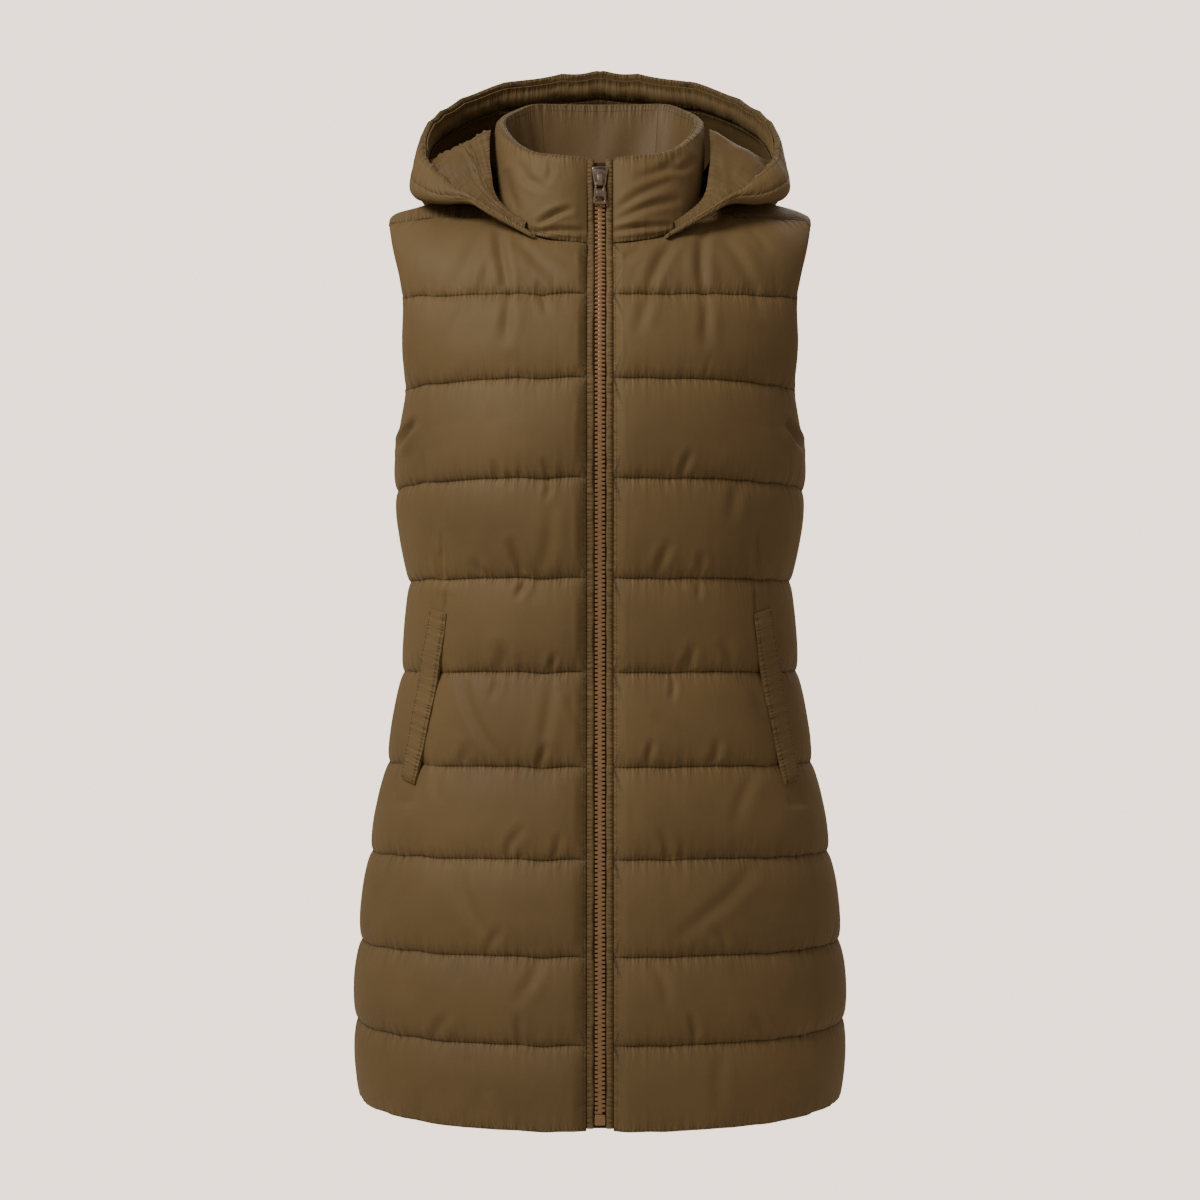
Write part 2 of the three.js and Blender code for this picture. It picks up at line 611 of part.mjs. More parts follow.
// The slider and pull are drawn on the zip's face, x across, y up along it and z out of it, then set there.
function onZip(geometry, up, out) {
  const outward = profileNormal(SLIDER_Z);
  const across = new THREE.Vector3(1, 0, 0);
  const along = new THREE.Vector3().crossVectors(outward, across);
  const origin = new THREE.Vector3(0, profileY(SLIDER_Z), SLIDER_Z)
    .addScaledVector(along, up).addScaledVector(outward, out);
  const set = new THREE.Matrix4().makeBasis(across, along, outward).setPosition(origin);
  return geometry.clone().applyMatrix4(set);
}

function plate(corners, depth, holes = []) {
  const shape = new THREE.Shape(corners.map(([x, y]) => new THREE.Vector2(x, y)));
  for (const hole of holes) shape.holes.push(new THREE.Path(hole.map(([x, y]) => new THREE.Vector2(x, y))));
  return new THREE.ExtrudeGeometry(shape, { depth, bevelEnabled: false });
}

function tapered(topWidth, lowWidth, top, low, corner) {
  const [t, l] = [topWidth / 2, lowWidth / 2];
  return [
    [-l + corner, low], [l - corner, low], [l, low + corner], [t, top - corner],
    [t - corner, top], [-t + corner, top], [-t, top - corner], [-l, low + corner],
  ];
}

function sliderBody() {
  const half = SLIDER.height / 2;
  const back = ZIP_FRONT - CHAIN_THICK;
  const core = plate(
    tapered(SLIDER.coreWidth, SLIDER.coreWidth - 2, half, -half, 1.5), SLIDER.plateFront - back,
  );
  const front = plate(
    tapered(SLIDER.topWidth, SLIDER.lowWidth, half, -half, 2), SLIDER.plateFront - SLIDER.plateBack,
  );
  const arch = [
    [BRIDGE.low, 0], [BRIDGE.low, BRIDGE.outside - 1.5], [BRIDGE.low + 1.5, BRIDGE.outside],
    [BRIDGE.high - 3, BRIDGE.outside], [BRIDGE.high, 3.6], [BRIDGE.high, 0],
    [BRIDGE.high - BRIDGE.footLength, 0], [BRIDGE.high - BRIDGE.footLength, 3.2],
    [BRIDGE.high - 3.4, BRIDGE.inside], [BRIDGE.low + BRIDGE.footLength, BRIDGE.inside],
    [BRIDGE.low + BRIDGE.footLength, 0],
  ];
  const turn = new THREE.Matrix4().makeBasis(
    new THREE.Vector3(0, 1, 0), new THREE.Vector3(0, 0, 1), new THREE.Vector3(1, 0, 0),
  ).setPosition(-BRIDGE.width / 2, 0, 0);
  const sunk = arch.map(([up, out]) => [up, out === 0 ? SLIDER.plateFront - 0.5 : out]);
  const bridge = plate(sunk, BRIDGE.width).applyMatrix4(turn);
  core.translate(0, 0, back);
  front.translate(0, 0, SLIDER.plateBack);
  return onZip(joined([core, front, bridge]), 0, 0);
}

// The pull hangs from a bar that passes under the bridge. Its eye lets the bridge through.
function pullTab() {
  const eye = PULL.eyeWidth / 2;
  const pane = PULL.windowWidth / 2;
  const { eyeLow, windowHigh, windowLow } = PULL;
  const tab = plate(
    tapered(PULL.topWidth, PULL.lowWidth, PULL.barRise, PULL.barRise - PULL.height, 1.2), PULL.thick,
    [
      [[-eye, -PULL.barRise], [eye, -PULL.barRise], [eye, -eyeLow], [-eye, -eyeLow]],
      [[-pane, -windowHigh], [pane, -windowHigh], [pane, -windowLow], [-pane, -windowLow]],
    ],
  );
  return onZip(tab.translate(0, 0, -PULL.thick / 2), PULL.pivot, PULL.out);
}

// One closed solid from several that run into each other.
function joined(geometries) {
  const solids = geometries.map((geometry) => {
    for (const name of ["normal", "uv"]) geometry.deleteAttribute(name);
    const whole = mergeVertices(geometry, 1e-4);
    return new wasm.Manifold(new wasm.Mesh({
      numProp: 3,
      vertProperties: whole.getAttribute("position").array,
      triVerts: new Uint32Array(whole.index.array),
    }));
  });
  const mesh = wasm.Manifold.union(solids).getMesh();
  const geometry = new THREE.BufferGeometry();
  geometry.setAttribute("position", new THREE.BufferAttribute(mesh.vertProperties, 3));
  geometry.setIndex(new THREE.BufferAttribute(mesh.triVerts, 1));
  return geometry;
}

// Assembly

const SHELL_CLOTH = { color: 0x6b5537, roughness: 0.55, metalness: 0 };
const LINING_CLOTH = { color: 0x5f4a2e, roughness: 0.4, metalness: 0 };
const TAPE_CLOTH = { color: 0x57452c, roughness: 0.8, metalness: 0 };
const TEETH_PLASTIC = { color: 0x9a6d42, roughness: 0.4, metalness: 0.1 };
const ANTIQUE_METAL = { color: 0x8a7a6c, roughness: 0.3, metalness: 0.9 };

const vest = new THREE.Group();
vest.name = "vest";

function add(name, geometry, look) {
  const mesh = new THREE.Mesh(geometry, new THREE.MeshStandardMaterial(look));
  mesh.name = name;
  vest.add(mesh);
}

function addPair(name, geometry, look) {
  add(`${name}_left`, geometry, look);
  add(`${name}_right`, mirrored(geometry), look);
}

const zipBack = ZIP_FRONT - CHAIN_THICK;
const edgeStrip = {
  x0: STRIP_INNER_X, x1: PANEL_EDGE_X - SEAM_GAP, back: zipBack, front: zipBack + STRIP_THICK,
};
const tapeStrip = {
  x0: SEAM_GAP, x1: PANEL_EDGE_X - SEAM_GAP, back: zipBack - SEAM_GAP - TAPE_THICK, front: zipBack - SEAM_GAP,
};
const wholeFront = { lowZ: HEM_Z, highZ: COLLAR_TOP_Z };
const teeth = { x0: -CHAIN_HALF, x1: CHAIN_HALF, back: zipBack, front: ZIP_FRONT };

addPair("front", frontPanel(), SHELL_CLOTH);
add("back", backPanel(), SHELL_CLOTH);
add("collar", collarShell(), SHELL_CLOTH);
add("collar_facing_back", collarBackFacing(), LINING_CLOTH);
addPair("collar_facing", collarSideFacing(), LINING_CLOTH);
addPair("hood_side", hoodSide(), SHELL_CLOTH);
add("hood_crown", hoodCrown(), SHELL_CLOTH);
add("hood_lining", hoodLining(), LINING_CLOTH);
add("hood_casing", hoodCasing(), SHELL_CLOTH);
addPair("pocket_welt", pocketWelt(), SHELL_CLOTH);
addPair("zip_edge", frontStrip({ ...wholeFront, ...edgeStrip }), SHELL_CLOTH);
addPair("zip_tape", frontStrip({ ...wholeFront, ...tapeStrip }), TAPE_CLOTH);
add("zip_chain", frontStrip({
  ...teeth, lowZ: BOX_TOP_Z, highZ: SLIDER_Z - SLIDER.height / 2 - SEAM_GAP,
}), TEETH_PLASTIC);
add("zip_box", frontStrip({ ...teeth, lowZ: HEM_Z + 3, highZ: BOX_TOP_Z - SEAM_GAP }), ANTIQUE_METAL);
add("zip_slider", sliderBody(), ANTIQUE_METAL);
add("zip_pull", pullTab(), ANTIQUE_METAL);

export default vest;
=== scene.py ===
"""A long hooded quilted vest, filled out as it is worn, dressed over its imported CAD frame."""

import math

import bpy
import numpy as np
from bpy.props import FloatProperty, FloatVectorProperty, IntProperty, PointerProperty
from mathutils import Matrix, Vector


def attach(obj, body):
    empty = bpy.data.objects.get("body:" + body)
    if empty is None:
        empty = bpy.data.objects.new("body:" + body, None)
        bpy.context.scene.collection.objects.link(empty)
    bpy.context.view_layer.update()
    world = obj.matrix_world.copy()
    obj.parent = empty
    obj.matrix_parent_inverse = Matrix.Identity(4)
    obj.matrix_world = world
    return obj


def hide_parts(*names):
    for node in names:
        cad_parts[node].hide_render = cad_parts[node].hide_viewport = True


bl_info = {
    "name": "Hooded quilted vest",
    "version": (1, 0, 0),
    "blender": (4, 5, 0),
    "location": "View3D > Sidebar > Vest",
    "description": "Makes the padded cloth, linings, stitching and zip of a hooded quilted vest",
    "category": "Object",
}

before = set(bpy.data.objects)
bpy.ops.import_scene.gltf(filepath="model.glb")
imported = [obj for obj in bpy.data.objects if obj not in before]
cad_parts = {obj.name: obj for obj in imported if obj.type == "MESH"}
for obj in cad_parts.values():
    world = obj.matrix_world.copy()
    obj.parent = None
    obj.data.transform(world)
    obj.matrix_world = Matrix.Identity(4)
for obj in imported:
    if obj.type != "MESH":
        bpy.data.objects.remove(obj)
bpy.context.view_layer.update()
MM = 0.001  # the tables and points below are in millimetres, as in the part's source

# The vest's measurements, the same as in the part's source

SEAM_GAP = 0.3
FAR = 1e4  # a place or a distance that nothing reaches
BODY_WALL = 5.0
HEM_BULGE = 2.6
PANEL_EDGE_X = 12.4
PANEL_WIDTH = 260.0
CHANNEL_HEIGHT = 86.0
SQUARENESS = 2.35
SIDE_SEAM_TOP = 7.5
HEM_FILL = 0.22
SIDE_RISE_SHARE = 0.5
COLLAR_WALL = 5.0
COLLAR_REACH = 290.0
COLLAR_HEIGHT = 88.0
FACING_SEAM = 12 / 15
HOOD_WALL = 5.0
HOOD_DEPTH = 200.0
STATION_LENGTH = 40.0  # the middling way from one station of the hood to the next
LINING_LENGTH = 700.0
LINING_DEPTH = 230.0
CASING_LENGTH = 640.0
FACING_WALL = 1.2
LINING_WALL = 1.2
CROWN_SEAM = 7.5
CROWN_GAP = 0.004
CASING_HEIGHT = 25.0
CASING_START = 8 * CROWN_SEAM / 14
CASING_GAP = 1.0
LINING_START = 0.14
LAST_STATION = 9
CHAIN_THICK = 3.2
STRIP_INNER_X = 5.5
STRIP_THICK = 3.4
ZIP_FRONT = 0.6
TAPE_THICK = 0.9
BOX_TOP_Z = -832.0
SLIDER_Z = 22.6
SLIDER_HEIGHT = 18.6
HEM_Z = -845.0
COLLAR_TOP_Z = 39.0

# Level sections of the body: quilting line, z at the centre, z at the side, half width, front depth and
# back depth.
BODY_SECTIONS = [
    (0, -845, -835, 226, 165, 150),
    (1, -771, -766, 231, 163, 150),
    (2, -692, -692, 227, 158, 147),
    (3, -605, -609, 217, 150, 142),
    (4, -522, -524, 201, 140, 132),
    (5, -436, -438, 187, 132, 116),
    (6, -350, -353, 181, 134, 104),
    (7, -259, -267, 193, 142, 109),
]
# The same through the armholes, with where the front's and the back's armhole edges lie.
ARMHOLE_SECTIONS = [
    (7.5, -214, -217, 190, 142, 114, 0, 0),
    (7.64, -201, -207, 190, 141, 115, -26, 28),
    (8, -168, -176, 191, 138, 118, -46, 52),
    (8.5, -129, -130, 201, 131, 117, -58, 64),
    (9, -90, -84, 206, 121, 113, -62, 67),
]
SHOULDER_SEAM = [(98, -50, -9), (105, -48.5, -8.7), (132, -42, -8), (168, -32, -8.5), (200, -19, -11)]
SEAM_FACING = (0.06, -0.5, 0.86)
SEAM_ACROSS = (0.1, 0.86, 0.5)
FRONT_YOKE = {
    9.5: [(12.4, -106, -64), (60, -101, -60), (122, -84, -50), (165, -69, -45), (194, -49, -43)],
    10: [(12.4, -92, -40), (45, -89, -36), (72, -80, -27), (86, -61, -13)],
}
BACK_YOKE = {
    9.5: [(0, 100, -28), (60, 97, -26), (122, 84, -24), (165, 69, -25), (196, 52, -31)],
    9.8: [(0, 84, 14), (46, 76, 15), (78, 48, 19), (108, 26, 17), (150, 16, 10), (180, 14, 3.5),
          (201, 14, -1.5)],
    10: [(0, 74, 37), (46, 71, 36.5), (81, 49, 32.5), (97, 4, 21), (99, -31, 3)],
}
COLLAR_BASE = [
    (12.4, -90, -39), (45, -87, -35), (71, -78, -26), (85, -58, -10), (91, -32, 6), (90, 2, 26),
    (75, 43, 37), (43, 66, 38.5), (0, 71, 38),
]
COLLAR_TOP = [
    (12.4, -84, 39), (38, -82, 42), (62, -70, 47), (82, -46, 62), (95, -12, 80), (97, 20, 94),
    (84, 50, 107), (66, 68, 116), (30, 74, 117), (0, 75, 117),
]
# Stations round one side of the hood, from its front corner to the centre back, along five lines from the
# neck seam out to the rim.
HOOD_STATIONS = {
    "neck": [(60, -90, -33), (92, -72, -13), (101, -56, 1), (102, -34, 14), (103, -10, 29),
             (101, 14, 34), (92, 40, 36), (74, 64, 40), (40, 80, 43), (0, 84, 44)],
    "under": [(60.5, -93, -35), (95, -80, -15), (108, -68, -2), (120, -50, 9), (128, -14, 27),
              (132, 20, 32), (118, 66, 16), (96, 104, 2), (54, 119, -10), (0, 124, -14)],
    "low": [(62, -95.5, -35), (100, -86, -13), (120, -75, 0), (148, -54, 4), (168, -20, 12),
            (169, 30, 18), (154, 96, 2), (120, 140, -44), (66, 158, -84), (0, 166, -98)],
    "out": [(63.5, -96, -33), (105, -84, -7), (131, -69, 8), (166, -43, 15), (179, -14, 23),
            (177, 30, 34), (172, 96, 46), (138, 154, 36), (80, 188, 22), (0, 200, 18)],
    "rim": [(64, -94, -30), (106.5, -82, -1.5), (134.5, -63, 17.5), (160.4, -32, 43.4), (170.5, -6, 59),
            (172, 31, 87), (156, 66, 113), (114, 94, 140), (60, 110, 154), (0, 116, 161)],
}
# The lining's own places, where it stands clear of the shell at the first stations.
LINING_NECK = [(63, -86, -23), (95, -66, 4), (103, -46, 34), (105, -22, 62), (104.5, -2, 80),
               (107, 18, 58), (96, 46, 44), (78, 72, 46), (42, 90, 50), (0, 94, 51)]
LINING_CREST = [(63.5, -87.5, -23), (97, -68, 5), (106, -47, 35), (111, -23, 61), (113, -2, 77),
                (116, 22, 49)]
LINING_FLOOR = [(63.7, -89, -24), (99, -69, 6), (112, -48, 32), (125, -26, 54), (130, -2, 66), (148, 30, 42)]
LINING_OUTER = [(63.9, -90, -25), (101.5, -70.5, 4.5), (120, -50, 26), (143, -28, 46), (154, -1, 54),
                (166, 31, 54)]
LINING_INSET = 10.0
LINING_RIM_INSET = 7.0
LINING_CASING_INSET = 9.2
RIM_SEWN = 4  # the stations whose lining reaches the rim, before the casing starts

WELT_BOW = 0.016  # how far the welt's outer edge bows out
# The left welt's corners: share of the way from the zip to the side seam, and quilting line.
WELT_TOP = {"inner": (0.55, 5.63), "outer": (0.64, 5.69)}
WELT_LOW = {"inner": (0.615, 3.78), "outer": (0.69, 3.85)}
WELT_PRESS = 0.55
WELT_REACH = 0.09
WELT_SEAT = 4.55
WELT_THICK = 2.4
WELT_WIDTH = 22.0
WELT_LENGTH = 165.0
WELT_CLEARANCE = 0.45
SNAP_PLACE = (-88.4, -8.3)  # x and z

# Creases, listed one by one as the cloth shows them from the front: the wearer's side, three points (x, z)
# along each, how deep and how wide it is. A negative depth is a raised fold.
FRONT_CREASES = [
    # side, start, middle, end, depth, width
    ("right", (-93, -34), (-89, -62), (-83, -90), 3.2, 5.0),
    ("right", (-83, -96), (-83, -110), (-84, -132), 2.2, 5.0),
    ("right", (-73, -43), (-57, -60), (-39, -76), 2.2, 5.5),
    ("right", (-112, -38), (-122, -64), (-140, -86), 1.6, 7.0),
    ("right", (-100, -60), (-104, -76), (-106, -88), 1.4, 5.0),
    ("right", (-55, -84), (-51, -96), (-48, -106), 2.0, 3.5),
    ("right", (-28, -62), (-45, -56), (-58, -48), 1.2, 5.0),
    ("right", (-120, -98), (-128, -112), (-132, -128), 1.2, 6.0),
    ("left", (94, -35), (92, -62), (95, -92), 3.2, 5.0),
    ("left", (95, -96), (95, -112), (94, -134), 2.2, 5.0),
    ("left", (65, -43), (54, -62), (43, -88), 2.6, 5.0),
    ("left", (43, -94), (40, -106), (35, -122), 1.6, 5.0),
    ("left", (115, -43), (128, -58), (141, -80), 2.2, 5.5),
    ("left", (140, -82), (143, -92), (144, -104), 1.4, 5.0),
    ("left", (140, -30), (148, -36), (154, -43), 1.4, 4.0),
    ("left", (13, -66), (26, -56), (38, -47), 1.4, 4.5),
    ("right", (-92, -259), (-93, -252), (-95, -245), 2.0, 3.0),
    ("right", (-46, -259), (-47, -252), (-50, -243), 2.6, 3.0),
    ("right", (-46, -261), (-46, -268), (-48, -276), 2.0, 3.0),
    ("right", (-158, -254), (-160, -242), (-159, -232), 1.4, 4.0),
    ("right", (-67, -347), (-72, -336), (-78, -318), 3.2, 4.0),
    ("right", (-67, -352), (-70, -359), (-74, -366), 2.6, 3.2),
    ("right", (-106, -347), (-109, -341), (-112, -334), 2.2, 3.6),
    ("right", (-144, -347), (-145, -338), (-145, -325), 1.8, 3.0),
    ("right", (-55, -346), (-46, -320), (-44, -286), 1.3, 5.5),
    ("right", (-87, -432), (-87, -425), (-88, -414), 3.0, 5.5),
    ("right", (-44, -432), (-43, -426), (-41, -420), 2.8, 3.0),
    ("right", (-126, -441), (-110, -482), (-87, -518), 2.2, 4.5),
    ("right", (-92, -441), (-94, -450), (-96, -458), 1.5, 3.5),
    ("right", (-44, -441), (-46, -470), (-55, -518), 1.6, 5.0),
    ("right", (-54, -519), (-52, -510), (-49, -502), 3.0, 3.2),
    ("right", (-27, -462), (-22, -474), (-18, -484), 1.4, 4.0),
    ("right", (-122, -518), (-122, -512), (-121, -506), 2.4, 4.0),
    ("right", (-146, -526), (-147, -540), (-146, -552), 1.4, 4.5),
    ("right", (-84, -601), (-78, -588), (-70, -578), 2.0, 4.0),
    ("right", (-128, -612), (-120, -640), (-98, -676), 1.8, 5.5),
    ("right", (-40, -603), (-38, -592), (-37, -584), 2.4, 3.4),
    ("right", (-100, -688), (-96, -678), (-90, -668), 2.0, 4.0),
    ("right", (-56, -698), (-62, -712), (-72, -728), 1.6, 5.0),
    ("right", (-150, -767), (-144, -756), (-136, -746), 2.0, 4.4),
    ("right", (-70, -767), (-72, -756), (-72, -746), 2.2, 3.4),
    ("right", (-118, -778), (-106, -800), (-100, -826), 1.4, 6.0),
    ("left", (74, -255), (76, -246), (80, -236), 2.2, 3.6),
    ("left", (126, -262), (120, -276), (117, -292), 1.4, 5.0),
    ("left", (52, -345), (54, -334), (60, -318), 2.4, 4.0),
    ("left", (88, -346), (90, -338), (90, -328), 2.4, 3.4),
    ("left", (88, -353), (89, -360), (88, -366), 1.8, 3.0),
    ("left", (132, -346), (132, -334), (128, -322), 1.6, 4.5),
    ("left", (78, -432), (80, -424), (82, -414), 2.6, 4.0),
    ("left", (120, -431), (116, -422), (110, -412), 2.0, 4.4),
    ("left", (66, -441), (66, -450), (64, -458), 1.8, 3.0),
    ("left", (54, -478), (74, -494), (90, -514), 1.4, 5.5),
    ("left", (128, -442), (138, -452), (146, -466), 1.4, 5.0),
    ("left", (44, -518), (44, -510), (46, -500), 2.6, 3.2),
    ("left", (100, -519), (104, -510), (104, -500), 2.2, 3.8),
    ("left", (140, -528), (128, -548), (120, -570), 1.4, 5.5),
    ("left", (62, -601), (60, -590), (54, -580), 2.4, 3.6),
    ("left", (140, -612), (112, -640), (70, -672), 1.7, 6.0),
    ("left", (114, -688), (110, -676), (102, -666), 2.2, 4.0),
    ("left", (48, -697), (56, -712), (60, -730), 1.6, 4.6),
    ("left", (84, -767), (84, -756), (80, -744), 2.4, 3.6),
    ("left", (150, -768), (146, -758), (138, -748), 1.8, 4.2),
    ("left", (110, -778), (104, -800), (106, -826), 1.4, 6.0),
    ("both", (-169, -205), (-174, -212), (-184, -224), 5.0, 3.6),
    ("both", (-168, -214), (-170, -222), (-180, -232), -2.4, 5.0),
    ("both", (-141, -306), (-141, -326), (-143, -348), 1.8, 1.6),
    ("both", (-141, -352), (-140, -368), (-141, -381), 2.2, 1.6),
]
BACK_CREASES = [
    ("back", (-60, -100), (-66, -140), (-64, -166), 1.8, 6.0),
    ("back", (72, -96), (66, -130), (70, -164), 2.0, 6.0),
    ("back", (-120, -172), (-112, -210), (-116, -252), 1.6, 6.0),
    ("back", (30, -176), (26, -190), (28, -206), 2.4, 4.0),
    ("back", (104, -250), (110, -238), (112, -222), 2.4, 4.4),
    ("back", (-30, -256), (-32, -246), (-38, -232), 2.4, 4.0),
    ("back", (-90, -264), (-70, -300), (-52, -344), 1.8, 6.0),
    ("back", (58, -346), (60, -334), (66, -318), 2.8, 4.0),
    ("back", (-110, -346), (-108, -336), (-102, -326), 2.2, 4.0),
    ("back", (130, -352), (118, -380), (112, -430), 1.8, 6.0),
    ("back", (-20, -432), (-20, -422), (-16, -410), 2.8, 4.2),
    ("back", (84, -432), (80, -424), (74, -416), 2.4, 4.0),
    ("back", (-134, -440), (-120, -480), (-96, -516), 1.8, 6.0),
    ("back", (20, -518), (22, -506), (28, -496), 2.8, 4.0),
    ("back", (-70, -519), (-74, -508), (-74, -498), 2.4, 4.0),
    ("back", (120, -526), (96, -560), (84, -600), 1.7, 6.0),
    ("back", (-44, -602), (-42, -592), (-34, -580), 2.6, 4.0),
    ("back", (150, -604), (148, -592), (140, -582), 2.2, 4.4),
    ("back", (-150, -612), (-130, -650), (-118, -688), 1.7, 6.0),
    ("back", (40, -688), (40, -678), (46, -668), 2.6, 4.0),
    ("back", (-88, -690), (-86, -680), (-80, -670), 2.2, 4.0),
    ("back", (96, -768), (98, -756), (94, -746), 2.4, 4.4),
    ("back", (-24, -768), (-26, -758), (-32, -748), 2.4, 4.0),
    ("back", (10, -776), (16, -800), (12, -826), 1.5, 6.0),
]
COLLAR_CREASES = [
    ("front", (-54, -20), (-40, -12), (-28, -8), 3.6, 3.0),
    ("front", (-58, -28), (-38, -27), (-16, -28), 2.6, 2.6),
    ("front", (-84, 30), (-82, 14), (-74, -6), 2.4, 4.0),
    ("front", (-70, 34), (-64, 22), (-52, 14), 2.0, 4.0),
    ("front", (-46, 20), (-44, 30), (-46, 38), 1.6, 3.0),
    ("front", (14, -10), (36, 6), (62, 20), 2.0, 4.0),
    ("front", (15, -18), (40, -6), (68, 2), 2.4, 3.6),
    ("front", (14, -28), (38, -24), (62, -22), 2.8, 2.8),
    ("front", (36, 22), (52, 28), (74, 46), 1.8, 4.0),
    ("front", (60, 30), (74, 34), (84, 44), 1.8, 3.6),
    ("back", (-40, 60), (-36, 80), (-40, 100), 1.6, 6.0),
    ("back", (34, 56), (40, 76), (38, 98), 1.6, 6.0),
]
HOOD_CREASES = [
    ("front", (-120, 0), (-136, 6), (-150, 12), 1.2, 5.0),
    ("front", (122, 2), (138, 8), (152, 14), 1.2, 5.0),
    ("back", (-92, 20), (-84, 50), (-60, 84), 2.6, 8.0),
    ("back", (96, 16), (88, 52), (64, 90), 2.6, 8.0),
    ("back", (-118, -6), (-110, 30), (-104, 60), 2.2, 8.0),
    ("back", (120, -10), (114, 26), (100, 62), 2.2, 8.0),
    ("back", (-40, -76), (-50, -40), (-54, 0), 2.4, 8.0),
    ("back", (36, -80), (48, -44), (56, -6), 2.4, 8.0),
    ("back", (-6, -90), (-8, -60), (-2, -30), 2.2, 8.0),
    ("back", (8, 60), (4, 96), (10, 128), 1.8, 8.0),
]


# Curves and surfaces, in arrays of points

def unit(vectors):
    return vectors / np.maximum(np.linalg.norm(vectors, axis=-1, keepdims=True), 1e-9)


def hermite(knots, values, at):
    """Reads curves through values (count, places, 3) at knots (count, places), one place each."""
    last = len(knots) - 1
    near = np.arange(last + 1)
    low, high = np.maximum(near - 1, 0), np.minimum(near + 1, last)
    slopes = (values[high] - values[low]) / (knots[high] - knots[low])[..., None]
    i = (at > knots[1:last]).sum(axis=0) if last > 1 else np.zeros(len(at), int)
    place = np.arange(len(at))
    span = (knots[i + 1, place] - knots[i, place])[:, None]
    t = np.clip((at - knots[i, place])[:, None] / span, 0, 1)
    return (
        (2 * t**3 - 3 * t**2 + 1) * values[i, place] + (t**3 - 2 * t**2 + t) * span * slopes[i, place]
        + (3 * t**2 - 2 * t**3) * values[i + 1, place] + (t**3 - t**2) * span * slopes[i + 1, place]
    )


def resample(knots, values, at):
    """The same curve for values of any shape whose first axis lies at knots, read at places."""
    flat = values.reshape(len(knots), -1)
    last = len(knots) - 1
    near = np.arange(last + 1)
    low, high = np.maximum(near - 1, 0), np.minimum(near + 1, last)
    slopes = (flat[high] - flat[low]) / (knots[high] - knots[low])[:, None]
    i = np.clip(np.searchsorted(knots, at) - 1, 0, last - 1)
    span = (knots[i + 1] - knots[i])[:, None]
    t = np.clip((at - knots[i])[:, None] / span, 0, 1)
    read = (
        (2 * t**3 - 3 * t**2 + 1) * flat[i] + (t**3 - 2 * t**2 + t) * span * slopes[i]
        + (3 * t**2 - 2 * t**3) * flat[i + 1] + (t**3 - t**2) * span * slopes[i + 1]
    )
    return read.reshape(len(at), *values.shape[1:])


def along_curve(points, share):
    """Curves through points (count, 3) or (count, places, 3), read at a share of their length."""
    points = np.asarray(points, float)
    steps = np.linalg.norm(np.diff(points, axis=0), axis=-1)
    knots = np.concatenate([np.zeros_like(steps[:1]), steps.cumsum(axis=0)])
    return (resample if points.ndim == 2 else hermite)(knots, points, share * knots[-1])


def section_line(row, depth, side, start_x, edge_y):
    """A quarter of a level section, from the centre to the side seam or the armhole's edge."""
    _, centre_z, side_z, half_width = row[:4]
    exponent = 2 / SQUARENESS
    turn = np.linspace(0, 1, 49)
    angle = turn * math.pi / 2
    points = np.stack([
        half_width * np.sin(angle) ** exponent,
        side * depth * np.clip(np.cos(angle), 0, 1) ** exponent,
        centre_z + (side_z - centre_z) * turn**2,
    ], axis=1)
    points = points[(points[:, 0] >= start_x - 1e-6) & (side * points[:, 1] >= side * edge_y - 1e-6)]
    if points[0, 0] > start_x + 1:
        return np.vstack([[start_x, side * depth, points[0, 2]], points])
    points[0, 0] = start_x
    return points


def panel_rows(side, start_x, yoke):
    """The rows of half a panel: each one's quilting line number and its points."""
    depth_at, edge_at = (4, 6) if side < 0 else (5, 7)
    rows = [(row[0], section_line(row, row[depth_at], side, start_x, 0)) for row in BODY_SECTIONS]
    rows += [(row[0], section_line(row, row[depth_at], side, start_x, row[edge_at]))
             for row in ARMHOLE_SECTIONS]
    away = unit(np.array(SEAM_ACROSS)) * side * SEAM_GAP
    for line, points in yoke.items():
        ending = [tuple(np.array(point) + away) for point in SHOULDER_SEAM] if line == 10 else []
        rows.append((line, np.array([*points, *ending], float)))
    return rows


FRONT_ROWS = panel_rows(-1, PANEL_EDGE_X, FRONT_YOKE)
BACK_ROWS = panel_rows(1, 0, BACK_YOKE)


def panel_surface(rows, across, line):
    curves = np.stack([along_curve(points, across) for _, points in rows])
    knots = np.repeat(np.array([row[0] for row in rows], float)[:, None], len(across), axis=1)
    return hermite(knots, curves, line)


def surface_normal(surface, a, b, a_range, b_range, outward=1):
    """The way a surface faces at places (a, b)."""
    da, db = (a_range[1] - a_range[0]) * 0.004, (b_range[1] - b_range[0]) * 0.004
    along_a = surface(np.minimum(a_range[1], a + da), b) - surface(np.maximum(a_range[0], a - da), b)
    along_b = surface(a, np.minimum(b_range[1], b + db)) - surface(a, np.maximum(b_range[0], b - db))
    return outward * unit(np.cross(along_a, along_b))


def body_surface(rows, side, across, line):
    """The stitched surface of half a panel and the way it faces."""
    surface = lambda a, b: panel_surface(rows, a, b)
    point = surface(across, line)
    normal = surface_normal(surface, across, line, (0, 1), (0, 10), -side)
    on_side_seam = (across == 1) & (line <= SIDE_SEAM_TOP)
    on_shoulder = (line == 10) & ((point[:, 0] > 90) if side < 0 else (point[:, 1] < -20))
    if side > 0:
        normal[across == 0, 0] = 0
    normal[on_side_seam, 1] = 0
    normal[on_shoulder] = SEAM_FACING
    point[on_side_seam, 1] = side * SEAM_GAP / 2
    return point, unit(normal)


def collar_surface(turn, up):
    return (1 - up)[:, None] * along_curve(COLLAR_BASE, turn) + up[:, None] * along_curve(COLLAR_TOP, turn)


STATION_KNOTS = np.arange(LAST_STATION + 1, dtype=float)


